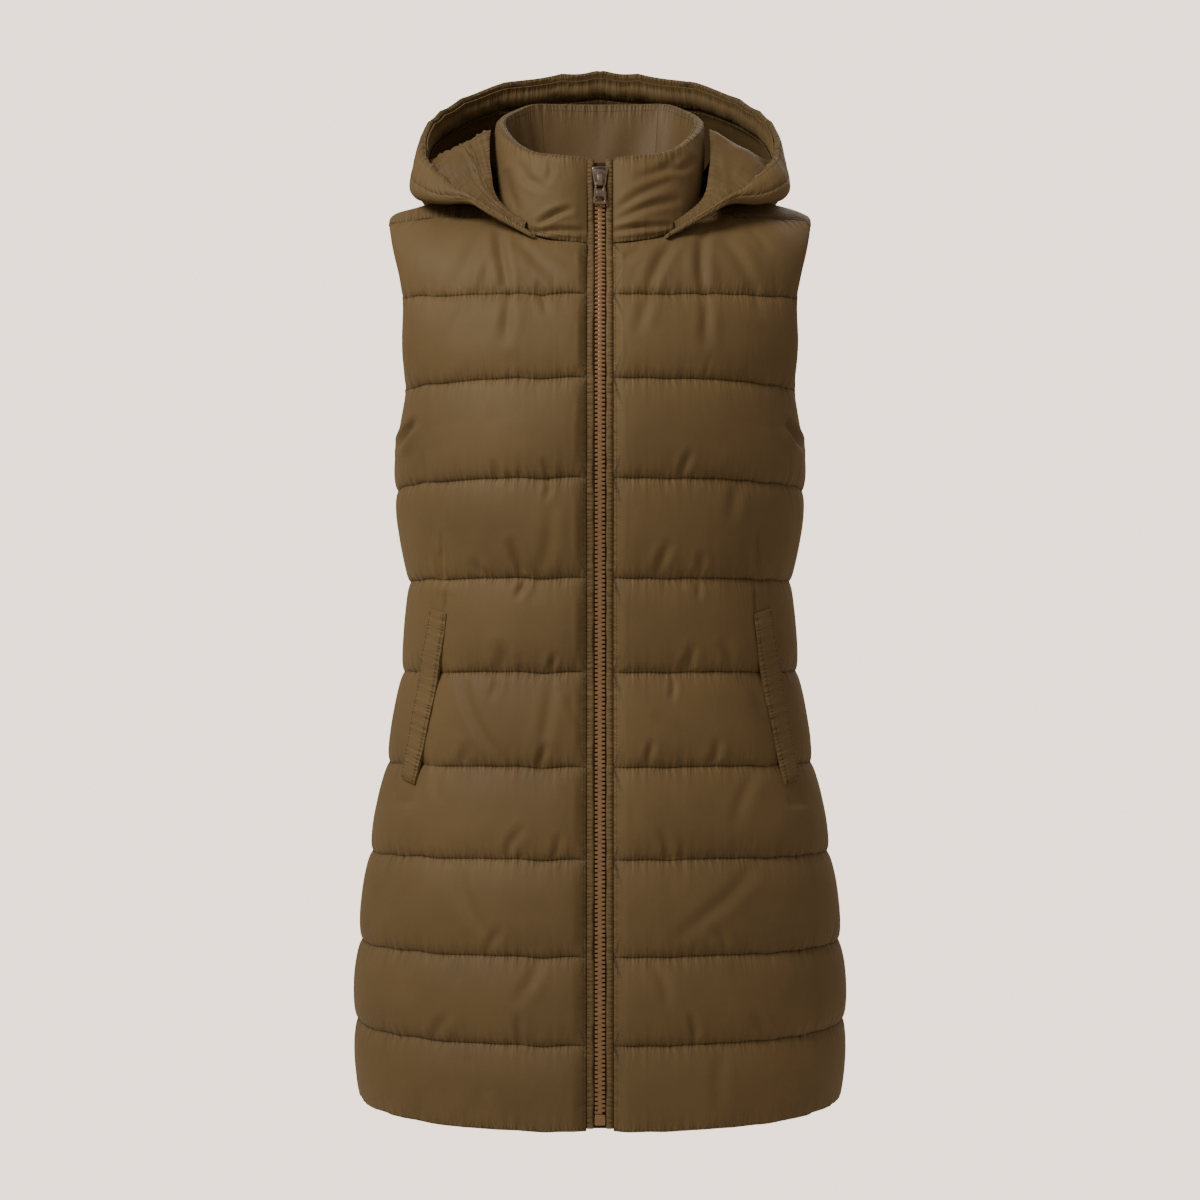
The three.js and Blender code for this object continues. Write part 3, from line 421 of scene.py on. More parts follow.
def station_points(station):
    return np.stack([
        resample(STATION_KNOTS, np.array(HOOD_STATIONS[name], float), station)
        for name in ("neck", "under", "low", "out", "rim")
    ])


def hood_surface(station, along):
    """The hood's stitched surface, its rim sagging a little between the folds of its casing."""
    points = along_curve(station_points(station), along)
    folds = station * 1.35 + 0.3 * np.sin(station * 2.1)
    sag = np.abs(np.sin(folds * math.pi)) * np.minimum(1, station / 2)
    points[:, 2] -= 1.9 * sag * np.clip(along, 0, 1) ** 7
    return points


def hood_length(station):
    return np.linalg.norm(np.diff(station_points(station), axis=0), axis=2).sum(axis=0)


def hood_taper(station):
    """The hood thins out where it runs down to its front corner."""
    return np.minimum(1, 0.2 + 0.3 * station)


def casing_edge(station):
    return 1 - np.minimum(CASING_HEIGHT / hood_length(station), 0.3)


def inside_hood(station, along, off):
    normal = surface_normal(hood_surface, station, along, (0, LAST_STATION), (0, 1))
    return hood_surface(station, along) - normal * (off * hood_taper(station))[:, None]


def lining_rows():
    station = STATION_KNOTS
    everywhere = np.ones(LAST_STATION + 1)
    rows = [np.array(LINING_NECK, float)]
    for own, along in ((LINING_CREST, 0.2), (LINING_FLOOR, 0.45), (LINING_OUTER, 0.72)):
        row = inside_hood(station, everywhere * along, LINING_INSET)
        row[: len(own)] = own
        rows.append(row)
    at_rim = inside_hood(station, np.where(station < 3, 1, 0.96), LINING_RIM_INSET)
    edge = casing_edge(station) - LINING_WALL / hood_length(station)
    below = inside_hood(station, edge, LINING_CASING_INSET)
    return [*rows, np.where((station < RIM_SEWN)[:, None], at_rim, below)]


LINING_ROWS = lining_rows()


def lining_surface(station, along):
    return along_curve(np.stack([resample(STATION_KNOTS, row, station) for row in LINING_ROWS]), along)


def casing_surface(station, share):
    edge = casing_edge(station)
    return hood_surface(station, edge + (0.99 - edge) * share)


def own_station(station):
    """The hood's station on the modelled half that a station past the centre back mirrors."""
    return np.minimum(station, 2 * LAST_STATION - station)


def mirrored_surface(surface, last, columns, rows, mirror=1, square_start=False):
    """Grids of a surface's points and facing, whose columns run on past last as its mirror image."""
    column, row = (values.ravel() for values in np.meshgrid(columns, rows))
    place = np.minimum(column, 2 * last - column)
    point = surface(place, row)
    normal = surface_normal(surface, place, row, (0, last), (0, 1))
    centre = place == last
    point[centre, 0] = 0
    normal[centre, 0] = 0
    if square_start:
        normal[place == 0, 0] = 0
    flip = np.stack([np.where(column > last, -mirror, mirror), *np.ones((2, len(column)))], axis=1)
    shape = (len(rows), len(columns), 3)
    return (point * flip).reshape(shape), (unit(normal) * flip).reshape(shape)


PROFILE = np.vstack([
    panel_surface(FRONT_ROWS, np.zeros(11), np.array([0, 1, 2, 3, 4, 5, 6, 7, 8, 9, 9.5])),
    collar_surface(np.zeros(2), np.array([0.0, 1.0])),
])


def profile_y(z):
    return resample(PROFILE[:, 2], PROFILE[:, 1:2], z)[:, 0]


def profile_normal(z):
    slope = (profile_y(z + 2) - profile_y(z - 2)) / 4
    return unit(np.stack([np.zeros_like(z), -np.ones_like(z), slope], axis=1))


def on_front(x, z, off):
    """Points on the front edges' profile, off it by off."""
    x, z, off = (np.array(value, float) for value in np.broadcast_arrays(x, z, off))
    level = z.ravel()
    point = np.stack([x.ravel(), profile_y(level), level], axis=1)
    return (point + profile_normal(level) * off.ravel()[:, None]).reshape(*x.shape, 3)


# Shapes of filled cloth

def channel_rise(share):
    """How high filling stands across a channel, from 0 at its stitched lines to 1."""
    return np.maximum(0, 1 - np.abs(2 * share - 1) ** 2.4) ** 0.6


def edge_fade(distance, reach):
    return np.sin(np.clip(distance / reach, 0, 1) * math.pi / 2)


def spaced(length, step, fine, reach=12.0):
    """Shares of a length whose steps are fine at both ends and grow to step over reach."""
    half = [0.0]
    while half[-1] < length / 2:
        half.append(half[-1] + fine + (step - fine) * min(1, half[-1] / reach))
    half = np.array(half) * (length / 2) / half[-1]
    return np.concatenate([half, (length - half[:-1])[::-1]]) / length


def channel_lines(lines, step, fine):
    """Rows up a quilted panel, close together beside each line of stitching."""
    rows = []
    for low, high in zip(lines, lines[1:]):
        shares = spaced((high - low) * CHANNEL_HEIGHT, step, fine)[:-1]
        rows += [low + (high - low) * share for share in shares]
    return np.array([*rows, lines[-1]], float)


def uneven(values, seed, lengths, heights):
    """Smooth uneven waves along one direction, of given lengths and heights."""
    rng = np.random.default_rng(seed)
    total = np.zeros_like(np.asarray(values, float))
    for length, height in zip(lengths, heights):
        for _ in range(3):
            turn = 2 * math.pi / (length * rng.uniform(0.75, 1.3))
            total += height / 1.7 * np.sin(values * turn + rng.uniform(0, 2 * math.pi))
    return total


def gathers(values, seed, spacing):
    """Narrow troughs from 0 to 1 where gathered cloth dips, unevenly spaced and unevenly deep."""
    turn = values / spacing + uneven(values, seed, (spacing * 3.1, spacing * 7.3), (0.3, 0.5))
    deep = 0.55 + 0.45 * uneven(values, seed + 1, (spacing * 2.3, spacing * 5.1), (0.5, 0.6))
    return np.clip(deep, 0, 1.3) * (1 - np.abs(np.sin(turn * math.pi))) ** 2.2


def seam_puckers(along, above, seed, strength=1.0):
    """How far cloth dips beside stitching: along runs down the seam, and above is the distance over it."""
    over = above > 0
    distance = np.abs(above)
    lean = uneven(along, seed + 9, (34, 90), (0.35, 0.4))
    place = along + lean * above
    reach = np.clip(1 + uneven(along, seed + 5, (19, 47), (0.45, 0.5)), 0.35, 2.2)
    middling = np.where(over, 1.3, 0.8) * gathers(place, seed + 21, 9.0)
    middling *= np.exp(-distance / (np.where(over, 7.0, 4.5) * reach)) * np.clip(distance / 2.0, 0.25, 1)
    wide = np.where(over, 1.5, 0.7) * gathers(place, seed + 31, 29.0)
    wide *= np.exp(-distance / (np.where(over, 13.0, 8.0) * reach)) * np.clip(distance / 3.0, 0.2, 1)
    return strength * (middling + wide)


def nearest_seam(*seams):
    """The place along and the distance from whichever seam is nearest; each is (along, distance)."""
    along, away = (np.stack(np.broadcast_arrays(*values)) for values in zip(*seams))
    away = np.abs(away)
    nearest = away.argmin(axis=0)[None]
    return np.stack([np.take_along_axis(values, nearest, 0)[0] for values in (along, away)], axis=-1)


def calmed(away, held, passes):
    """Evens out small crumples in how far cloth has moved, but not at its held points."""
    for _ in range(passes):
        wide = np.pad(away, ((1, 1), (1, 1), (0, 0)), "edge")
        mean = (wide[:-2, 1:-1] + wide[2:, 1:-1] + wide[1:-1, :-2] + wide[1:-1, 2:]) / 4
        away = np.where(held[..., None], away, 0.35 * away + 0.65 * mean)
    return away


def crease_field(points, creases, sides):
    """How far the listed creases press the cloth in, at points, for creases of the named sides."""
    flat = points.reshape(-1, 3)[:, [0, 2]]
    pressed = np.zeros(len(flat))
    for side, *course, depth, width in creases:
        if side not in sides:
            continue
        for mirror in ((1, -1) if side == "both" else (1,)):
            share = np.linspace(0, 1, 25)
            line = along_curve([(x * mirror, 0, z) for x, z in course], share)[:, [0, 2]]
            reach = 3.2 * width
            inside = (flat > line.min(axis=0) - reach) & (flat < line.max(axis=0) + reach)
            near = np.flatnonzero(inside.all(axis=1))
            if not len(near):
                continue
            gap = np.linalg.norm(flat[near][:, None] - line[None], axis=2)
            closest = gap.argmin(axis=1)
            gap = gap[np.arange(len(near)), closest]
            fade = np.sin(math.pi * np.clip(0.12 + 0.8 * share[closest], 0, 1)) ** 0.7
            trough = np.exp(-((gap / width) ** 2)) - 0.35 * np.exp(-(((gap - 1.9 * width) / width) ** 2))
            pressed[near] += depth * fade * trough
    return pressed.reshape(points.shape[:-1])


# Meshes

def grid_faces(rows, columns, start=0):
    first = start + np.arange(rows - 1)[:, None] * columns + np.arange(columns - 1)[None]
    return np.stack([first, first + 1, first + columns + 1, first + columns], axis=-1).reshape(-1, 4)


def run_lengths(points, axis):
    steps = np.linalg.norm(np.diff(points, axis=axis), axis=2).cumsum(axis=axis)
    return np.concatenate([np.zeros_like(np.take(steps, [0], axis=axis)), steps], axis=axis)


def mesh_object(name, points, faces, finish, maps=(), smooth=True):
    """A new object from points in millimetres. maps are places on the flat cloth, for its weave, and places
    along and away from the nearest stitching, for its gathers."""
    mesh = bpy.data.meshes.new(name)
    faces = [tuple(int(i) for i in face) for face in faces]
    mesh.from_pydata((np.asarray(points, float) * MM).tolist(), [], faces)
    corner = np.empty(len(mesh.loops), int)
    mesh.loops.foreach_get("vertex_index", corner)
    for label, values in zip(("Cloth", "Seams"), maps):
        mesh.uv_layers.new(name=label).data.foreach_set("uv", (values[corner] * MM).ravel())
    mesh.polygons.foreach_set("use_smooth", [smooth] * len(mesh.polygons))
    mesh.materials.append(finish_of(finish))
    mesh.update()
    item = bpy.data.objects.new(name, mesh)
    bpy.context.scene.collection.objects.link(item)
    return item


def boundary(rows, columns):
    """The places (row, column) round a grid's edge, in order, each with the side it lies on."""
    low = [(0, c, 0) for c in range(columns - 1)]
    right = [(r, columns - 1, 1) for r in range(rows - 1)]
    high = [(rows - 1, c, 2) for c in range(columns - 1, 0, -1)]
    left = [(r, 0, 3) for r in range(rows - 1, 0, -1)]
    return np.array(low + right + high + left)


def every(count, step):
    return np.unique(np.append(np.arange(0, count, step), count - 1))


def closed_cloth(name, outer, inner, finish, bulge=(0, 0, 0, 0), thin=3, seams=None):
    """A closed wall of cloth between two grids of points, its inside with fewer points, and its free edges
    rounded by bulge: at the low, right, high and left edge. seams are places beside its stitching."""
    rows, columns = outer.shape[:2]
    keep_r, keep_c = every(rows, thin), every(columns, thin)
    kept_grid = np.ix_(keep_r, keep_c)
    coarse = inner[kept_grid]
    count = rows * columns
    round_it = boundary(rows, columns)
    r, c, edge = round_it.T
    inward_r = np.clip(r + np.where(edge == 0, 1, 0) - np.where(edge == 2, 1, 0), 0, rows - 1)
    inward_c = np.clip(c + np.where(edge == 3, 1, 0) - np.where(edge == 1, 1, 0), 0, columns - 1)
    middle = (outer[r, c] + inner[r, c]) / 2
    out = unit(inner[r, c] - inner[inward_r, inward_c])
    amounts = [np.broadcast_to(np.asarray(value, float), (rows if i % 2 else columns,))
               for i, value in enumerate(bulge)]
    amount = np.array([amounts[e][row if e % 2 else col] for row, col, e in round_it])
    ring = middle + out * amount[:, None]
    points = np.concatenate([outer.reshape(-1, 3), ring, coarse.reshape(-1, 3)])
    outer_index = r * columns + c
    ring_index = count + np.arange(len(r))
    coarse_start = count + len(r)
    coarse_at = {(kr, kc): coarse_start + i * len(keep_c) + j
                 for i, kr in enumerate(keep_r) for j, kc in enumerate(keep_c)}
    faces = [*map(tuple, grid_faces(rows, columns)),
             *map(tuple, grid_faces(len(keep_r), len(keep_c), coarse_start)[:, ::-1])]
    total = len(r)
    for i in range(total):
        j = (i + 1) % total
        faces.append((outer_index[j], outer_index[i], ring_index[i], ring_index[j]))
    kept = [i for i in range(total) if (r[i], c[i]) in coarse_at]
    for i, j in zip(kept, kept[1:] + [kept[0] + total]):
        run = [ring_index[k % total] for k in range(j, i - 1, -1)]
        faces.append((*run, coarse_at[r[i], c[i]], coarse_at[r[j % total], c[j % total]]))
    probe = np.array(faces[: len(faces) - len(kept) - total], int)
    a, b, c4, d = (points[probe[:, i]] for i in range(4))
    if (np.cross(a, b) * c4).sum() + (np.cross(a, c4) * d).sum() < 0:
        faces = [face[::-1] for face in faces]
    lengths = np.stack([run_lengths(outer, 1), run_lengths(outer, 0)], axis=-1)
    seams = np.full_like(lengths, FAR) if seams is None else seams
    maps = [np.concatenate([values.reshape(-1, 2), values[r, c], values[kept_grid].reshape(-1, 2)])
            for values in (lengths, seams)]
    piece = mesh_object(name, points, faces, finish, maps)
    piece.data.set_sharp_from_angle(angle=1.0)
    return piece


def stitches(name, runs, finish, pitch=3.3, length=2.5, thick=0.5):
    """Rows of single stitches: each run is (points, normals) down one seam."""
    centres, aheads, facings = [], [], []
    for course, normals in runs:
        steps = np.concatenate([[0], np.linalg.norm(np.diff(course, axis=0), axis=1).cumsum()])
        count = int(steps[-1] / pitch)
        if count < 1:
            continue
        middle = (np.arange(count) + 0.5) * steps[-1] / count
        read = lambda values, at: np.stack([np.interp(at, steps, axis) for axis in values.T], axis=1)
        facing = unit(read(normals, middle))
        centres.append(read(course, middle) + facing * thick * 0.4)
        aheads.append(unit(read(course, middle + 0.6) - read(course, middle - 0.6)))
        facings.append(facing)
    centre, ahead, facing = (np.concatenate(values)[:, None] for values in (centres, aheads, facings))
    side = unit(np.cross(ahead, facing))
    ring = [(place, size, turn) for place, size in ((-0.5, 0.35), (-0.3, 1.0), (0.3, 1.0), (0.5, 0.35))
            for turn in (0.25, 0.75, 1.25, 1.75)]
    place, size, turn = np.array(ring).T[..., None]
    around = side * np.cos(turn * math.pi) + facing * np.sin(turn * math.pi)
    points = centre + ahead * place * length + around * size * thick / 2
    points = points - facing * np.abs(place) * thick * 0.6
    quads = [(k + t, k + (t + 1) % 4, k + 4 + (t + 1) % 4, k + 4 + t) for k in (0, 4, 8) for t in range(4)]
    quads += [(3, 2, 1, 0), (12, 13, 14, 15)]
    faces = (np.array(quads)[None] + 16 * np.arange(len(centre))[:, None, None]).reshape(-1, 4)
    return mesh_object(name, points.reshape(-1, 3), faces, finish)


# Patches of cloth that are filled by simulation

class Patch:
    """One piece of cloth between its seams. grid(columns, rows) gives its sewn-down points, the way they face
    and the plain rise of its filling; held(columns, rows) is true where it is sewn; detail(...) gives its
    puckers, its sag and its places beside the stitching; room is how far it may stray below and above its
    plain rise, and roof(columns, rows) the highest that it may stand."""

    def __init__(self, name, grid, columns, rows, held, detail, press=1.0, spare=1.0, room=(1.2, 1.6),
                 roof=None):
        self.name, self.grid, self.columns, self.rows = name, grid, columns, rows
        self.held, self.detail, self.press, self.spare = held, detail, press, spare
        self.room, self.roof = room, roof


def cloth_settings():
    return bpy.context.scene.vest_cloth


def simulate(patches):
    """Fills patches with Blender's cloth simulation, all in one run. Returns how far each moved."""
    scene, settings = bpy.context.scene, cloth_settings()
    made = []
    for number, patch in enumerate(patches):
        columns, rows = patch.columns(1.0), patch.rows(1.0)
        sewn, facing, rise = patch.grid(columns, rows)
        rng = np.random.default_rng(settings.seed + number)
        lift = rise * (0.85 + 0.06 * rng.standard_normal(rise.shape)) + 0.1 * rng.random(rise.shape)
        points = (sewn + facing * lift[..., None]).reshape(-1, 3)
        faces = grid_faces(*sewn.shape[:2])
        middle = faces[len(faces) // 2]
        a, b, c = points[middle[:3]]
        if np.cross(b - a, c - b) @ facing.reshape(-1, 3)[middle[0]] < 0:
            faces = faces[:, ::-1]
        mesh = bpy.data.meshes.new("filling")
        mesh.from_pydata((points * MM).tolist(), [], faces.tolist())
        item = bpy.data.objects.new("filling_" + patch.name, mesh)
        scene.collection.objects.link(item)
        group = item.vertex_groups.new(name="Sewn")
        group.add(np.flatnonzero(patch.held(columns, rows).ravel()).tolist(), 1.0, "ADD")
        cloth = item.modifiers.new("Filling", "CLOTH")
        cloth.settings.vertex_group_mass = "Sewn"
        cloth.settings.quality = 5
        cloth.settings.mass = 0.3
        cloth.settings.tension_stiffness = cloth.settings.compression_stiffness = 15
        cloth.settings.shear_stiffness = 5
        cloth.settings.bending_stiffness = settings.bending
        cloth.settings.use_pressure = True
        cloth.settings.uniform_pressure_force = settings.pressure * patch.press
        cloth.settings.shrink_min = -settings.spare * patch.spare
        cloth.settings.effector_weights.gravity = 0
        cloth.collision_settings.use_collision = False
        made.append((patch, item, sewn, patch.held(columns, rows)))
    scene.frame_start, scene.frame_end = 1, settings.frames
    for number in range(1, settings.frames + 1):
        scene.frame_set(number)
    graph = bpy.context.evaluated_depsgraph_get()
    moved = {}
    for patch, item, sewn, held in made:
        mesh = item.evaluated_get(graph).to_mesh()
        points = np.empty(len(mesh.vertices) * 3)
        mesh.vertices.foreach_get("co", points)
        moved[patch.name] = calmed(points.reshape(sewn.shape) / MM - sewn, held, settings.calm)
        bpy.data.objects.remove(item)
    scene.frame_set(1)
    return moved


FILLED, SEAMS = {}, {}


def filled(name):
    """The outside, the sewn-down surface and the facing of a filled patch, at its finest."""
    if name not in FILLED:
        patches = all_patches()
        moved = simulate(patches)
        for patch in patches:
            columns, rows = patch.columns(0.0), patch.rows(0.0)
            sewn, facing, rise = patch.grid(columns, rows)
            if patch.name in moved:
                away = resample(patch.rows(1.0), moved[patch.name], rows)
                away = resample(patch.columns(1.0), away.transpose(1, 0, 2), columns).transpose(1, 0, 2)
            else:
                away = facing * rise[..., None]
            off = (away * facing).sum(axis=-1)
            free = np.minimum(1, rise / 3) if rise.any() else 1.0
            top = rise + patch.room[1] * free
            if patch.roof:
                top = np.minimum(top, patch.roof(columns, rows))
            calm = np.clip(off, np.minimum(rise - patch.room[0] * free, top), top)
            pressed, slide, SEAMS[patch.name] = patch.detail(sewn, columns, rows, np.maximum(calm, 0))
            along = away - facing * off[..., None]
            outer = sewn + along + facing * (calm - np.minimum(pressed, calm + 3.2))[..., None] + slide
            FILLED[patch.name] = (outer, sewn, facing, columns, rows)
    return FILLED[name]


QUILTING = list(range(10))


def body_grid(side, mirror, columns, rows):
    place, line = np.meshgrid(columns, rows)
    shape, across, line = place.shape, np.abs(place).ravel(), line.ravel()
    sewn, facing = body_surface(FRONT_ROWS if side < 0 else BACK_ROWS, side, across, line)
    flip = np.stack([np.where(place.ravel() < 0, -1.0, 1.0) * mirror, *np.ones((2, len(across)))], axis=1)
    share = line - np.floor(line)
    if side > 0:
        share = np.where(line > 9, (line - 9) * 2 % 1, share)
    share = np.where(line < 1, HEM_FILL + (1 - HEM_FILL) * line, share)
    rise = cloth_settings().rise * (1 - (1 - SIDE_RISE_SHARE) * across**3) * channel_rise(share)
    rise = rise * edge_fade((1 - across) * PANEL_WIDTH, 14.0)
    if side < 0:
        rise = rise * edge_fade(across * PANEL_WIDTH, 12.0) * (1 - WELT_PRESS * welt_press(across, line))
    return (sewn * flip).reshape(*shape, 3), (facing * flip).reshape(*shape, 3), rise.reshape(shape)


def welt_press(across, line):
    """How far the welt holds the filling down, from 0 to 1."""
    t = (line - WELT_LOW["inner"][1]) / (WELT_TOP["inner"][1] - WELT_LOW["inner"][1])
    inner = WELT_LOW["inner"][0] + (WELT_TOP["inner"][0] - WELT_LOW["inner"][0]) * t
    outer = WELT_LOW["outer"][0] + (WELT_TOP["outer"][0] - WELT_LOW["outer"][0]) * t
    beyond = np.maximum(np.maximum(inner - across, across - outer), 0)
    return np.where((t < -0.12) | (t > 1.12), 0, 1 - np.minimum(1, beyond / WELT_REACH))


def quilting_lines(side):
    return [*QUILTING, *([9.5] if side > 0 else []), 10]


def panel_lines(side, coarse=False):
    """The rows of a quilted panel's mesh, as quilting line numbers."""
    return channel_lines(quilting_lines(side), 5.2 if coarse else 3.4, 2.0 if coarse else 1.0)


def body_detail(side, creases, names, seed):
    def detail(sewn, columns, rows, off):
        along = run_lengths(sewn, 1)
        pressed = crease_field(sewn, creases, names)
        line = np.repeat(rows[:, None], len(columns), axis=1)
        for number, seam in enumerate(quilting_lines(side)[1:]):
            above = (line - seam) * CHANNEL_HEIGHT
            near = np.abs(above) < 60
            strength = 0.6 if seam == 10 else 1.0
            pressed[near] += seam_puckers(along[near], above[near], seed + 101 * number, strength)
        if side < 0:
            up = run_lengths(sewn, 0)
            fade = np.exp(-along / 7.0) * np.clip(along / 2.0, 0.2, 1)
            pressed += fade * (gathers(up + 0.3 * along, seed + 7, 17.0) + 0.5 * gathers(up, seed + 8, 6.5))
        hem = np.clip(1 - (line * CHANNEL_HEIGHT) / 16.0, 0, 1)
        pressed += 0.8 * hem * gathers(along, seed + 3, 23.0)
        slide = np.zeros_like(sewn)
        slide[..., 2] -= 0.16 * off
        slide[..., 2] += uneven(along, seed + 2, (41, 97), (0.35, 0.5)) * edge_fade(along, 10)
        seams = [(along, (line - seam) * CHANNEL_HEIGHT) for seam in quilting_lines(side)]
        seams += [(run_lengths(sewn, 0), 1 + 3 * along)] if side < 0 else []
        return pressed, slide, nearest_seam(*seams)
    return detail


def body_patch(name, side, mirror, creases, names, seed):
    lines = quilting_lines(side)
    if side < 0:
        columns = lambda coarse: spaced(PANEL_WIDTH, 4.2 if coarse else 1.9, 2.0 if coarse else 1.2)
    else:
        def columns(coarse):
            half = spaced(2 * PANEL_WIDTH, 4.6 if coarse else 2.3, 2.0 if coarse else 1.4)
            return half * 2 - 1
    rows = lambda coarse: panel_lines(side, coarse)

    def held(columns, rows):
        place, line = np.meshgrid(columns, rows)
        sewn_line = np.min([np.abs(line - value) for value in lines], axis=0) < 1e-9
        return sewn_line | (np.abs(place) == 1) | ((place == 0) if side < 0 else False)

    def roof(columns, rows):
        return WELT_SEAT - WELT_CLEARANCE + 20 * (1 - welt_press(*np.meshgrid(columns, rows)))

    grid = lambda columns, rows: body_grid(side, mirror, columns, rows)
    return Patch(name, grid, columns, rows, held, body_detail(side, creases, names, seed),
                 roof=roof if side < 0 else None)


def sewn_all_round(columns, rows):
    held = np.ones((len(rows), len(columns)), bool)
    held[1:-1, 1:-1] = False
    return held


def collar_patch(seed):
    def grid(columns, rows):
        turn, up = np.meshgrid(columns, rows)
        reach = edge_fade(np.minimum(turn, 2 - turn) * COLLAR_REACH, 12.0)
        rise = 6.0 * channel_rise(0.08 + 0.86 * up) * reach
        return *mirrored_surface(collar_surface, 1, columns, rows, square_start=True), rise

    def detail(sewn, columns, rows, off):
        along = run_lengths(sewn, 1)
        up = run_lengths(sewn, 0)
        height = up[-1:]
        pressed = crease_field(np.where(sewn[..., 1:2] < 0, sewn, FAR), COLLAR_CREASES, ("front",))
        pressed += crease_field(np.where(sewn[..., 1:2] > 0, sewn, FAR), COLLAR_CREASES, ("back",))
        pressed += seam_puckers(along, up, seed, 0.9) + seam_puckers(along, up - height, seed + 50, 1.1)
        slide = np.zeros_like(sewn)
        slide[..., 2] -= 0.15 * off
        return pressed, slide, nearest_seam((along, up), (along, up - height))

    columns = lambda coarse: spaced(2 * COLLAR_REACH, 4.2 if coarse else 2.2, 2.0 if coarse else 1.2) * 2
    rows = lambda coarse: spaced(COLLAR_HEIGHT, 4.0 if coarse else 2.4, 1.8 if coarse else 1.0)
    return Patch("collar", grid, columns, rows, sewn_all_round, detail, 0.8, 1.6)


def hood_patch(name, first, last, mirror, seed):
    span = last - first

    def grid(columns, rows):
        station, along = np.meshgrid(columns, rows)
        rise = 3.0 * hood_taper(own_station(station))
        rise = rise * edge_fade((1 - along) * HOOD_DEPTH, 20.0) * edge_fade(along * HOOD_DEPTH, 20.0)
        return *mirrored_surface(hood_surface, LAST_STATION, columns, rows, mirror), rise

    def detail(sewn, columns, rows, off):
        station, along = np.meshgrid(columns, rows)
        course = run_lengths(sewn, 1)
        up = run_lengths(sewn, 0)
        rim = up - up[-1:]
        place = own_station(station)
        taper = hood_taper(place)
        pressed = crease_field(np.where(sewn[..., 1:2] < 0, sewn, FAR), HOOD_CREASES, ("front",))
        pressed += crease_field(np.where(sewn[..., 1:2] > 60, sewn, FAR), HOOD_CREASES, ("back",))
        pressed += taper * seam_puckers(course, rim, seed, 0.8)
        casing = (along - casing_edge(place.ravel()).reshape(along.shape)) * up[-1:]
        groove = 0.9 * np.exp(-((casing / 2.6) ** 2))
        pressed += taper * (groove + 0.7 * seam_puckers(course, casing, seed + 60))
        pressed += 0.8 * taper * seam_puckers(course, up, seed + 70)
        seams = [(course[:1], up), (course[-1:], rim), (course[-1:], casing)]
        for edge in (0, -1):
            beside = np.abs(course - course[:, edge][:, None])
            if place[0, edge] > 6:
                pressed += 0.8 * taper * seam_puckers(up, beside, seed + 80 + edge)
                seams.append((up, beside))
        return pressed, np.zeros_like(sewn), nearest_seam(*seams)

    length = STATION_LENGTH * span
    columns = lambda coarse: first + spaced(length, 4.6 if coarse else 2.6, 2.2 if coarse else 1.4) * span
    rows = lambda coarse: spaced(HOOD_DEPTH, 4.8 if coarse else 2.8, 2.2 if coarse else 1.4)
    return Patch(name, grid, columns, rows, sewn_all_round, detail, 0.35, 0.9)


def lining_patch(seed):
    def grid(columns, rows):
        flat = np.zeros((len(rows), len(columns)))
        return *mirrored_surface(lining_surface, LAST_STATION, columns, rows), flat

    def detail(sewn, columns, rows, off):
        course = run_lengths(sewn, 1)
        up = run_lengths(sewn, 0)
        rim = up[-1:] - up
        fade = edge_fade(up, 22) * edge_fade(rim, 16)
        lean = course + 0.55 * up * np.sign(course - course[:, -1:] / 2)
        folds = 3.4 * gathers(lean, seed + 1, 46.0) + 2.2 * gathers(course - 0.8 * up, seed + 2, 31.0)
        folds += 1.6 * gathers(up + 0.3 * course, seed + 3, 37.0)
        pressed = fade * (folds - 1.2) - seam_puckers(course, rim, seed)
        pressed -= 0.4 * seam_puckers(course, up, seed + 40)
        return pressed, np.zeros_like(sewn), nearest_seam((course[:1], up), (course[-1:], rim))

    def columns(coarse):
        shares = spaced(LINING_LENGTH, 5.0 if coarse else 3.2, 2.4 if coarse else 1.8)
        return LINING_START + (LAST_STATION - LINING_START) * shares * 2
    rows = lambda coarse: spaced(LINING_DEPTH, 5.0 if coarse else 3.2, 2.2 if coarse else 1.6)
    return Patch("hood_lining", grid, columns, rows, sewn_all_round, detail, -0.04, 3.2, (6.0, 1.5))


def all_patches():
    seed = cloth_settings().seed
    crown_end = 2 * LAST_STATION - CROWN_SEAM - CROWN_GAP
    return [
        body_patch("front_left", -1, 1, FRONT_CREASES, ("left", "both"), seed * 1000 + 1),
        body_patch("front_right", -1, -1, FRONT_CREASES, ("right", "both"), seed * 1000 + 2001),
        body_patch("back", 1, 1, BACK_CREASES, ("back",), seed * 1000 + 4001),
        collar_patch(seed * 1000 + 6001),
        hood_patch("hood_side_left", 0, CROWN_SEAM - CROWN_GAP, 1, seed * 1000 + 7001),
        hood_patch("hood_side_right", 0, CROWN_SEAM - CROWN_GAP, -1, seed * 1000 + 8001),
        hood_patch("hood_crown", CROWN_SEAM + CROWN_GAP, crown_end, 1, seed * 1000 + 9001),
        lining_patch(seed * 1000 + 9501),
    ]


# Fitting pieces to the frame

def dress(piece, slot, *nodes, body="vest"):
    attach(piece, body)
    if nodes:
        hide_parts(*nodes)
    return piece


def padded_piece(name, wall, bulge):
    outer, sewn, facing, columns, _ = filled(name)
    inner = sewn - facing * np.reshape(wall(columns) if callable(wall) else wall, (1, -1, 1))
    piece = closed_cloth(name + "_cloth", outer, inner, "Outer nylon", bulge, seams=SEAMS[name])
    dress(piece, "shell", name)
    return piece


def thin_piece(name, node, outer, inner, finish, slot, seams=None):
    piece = closed_cloth(name, outer, inner, finish, thin=2, seams=seams)
    dress(piece, slot, node)
    return piece


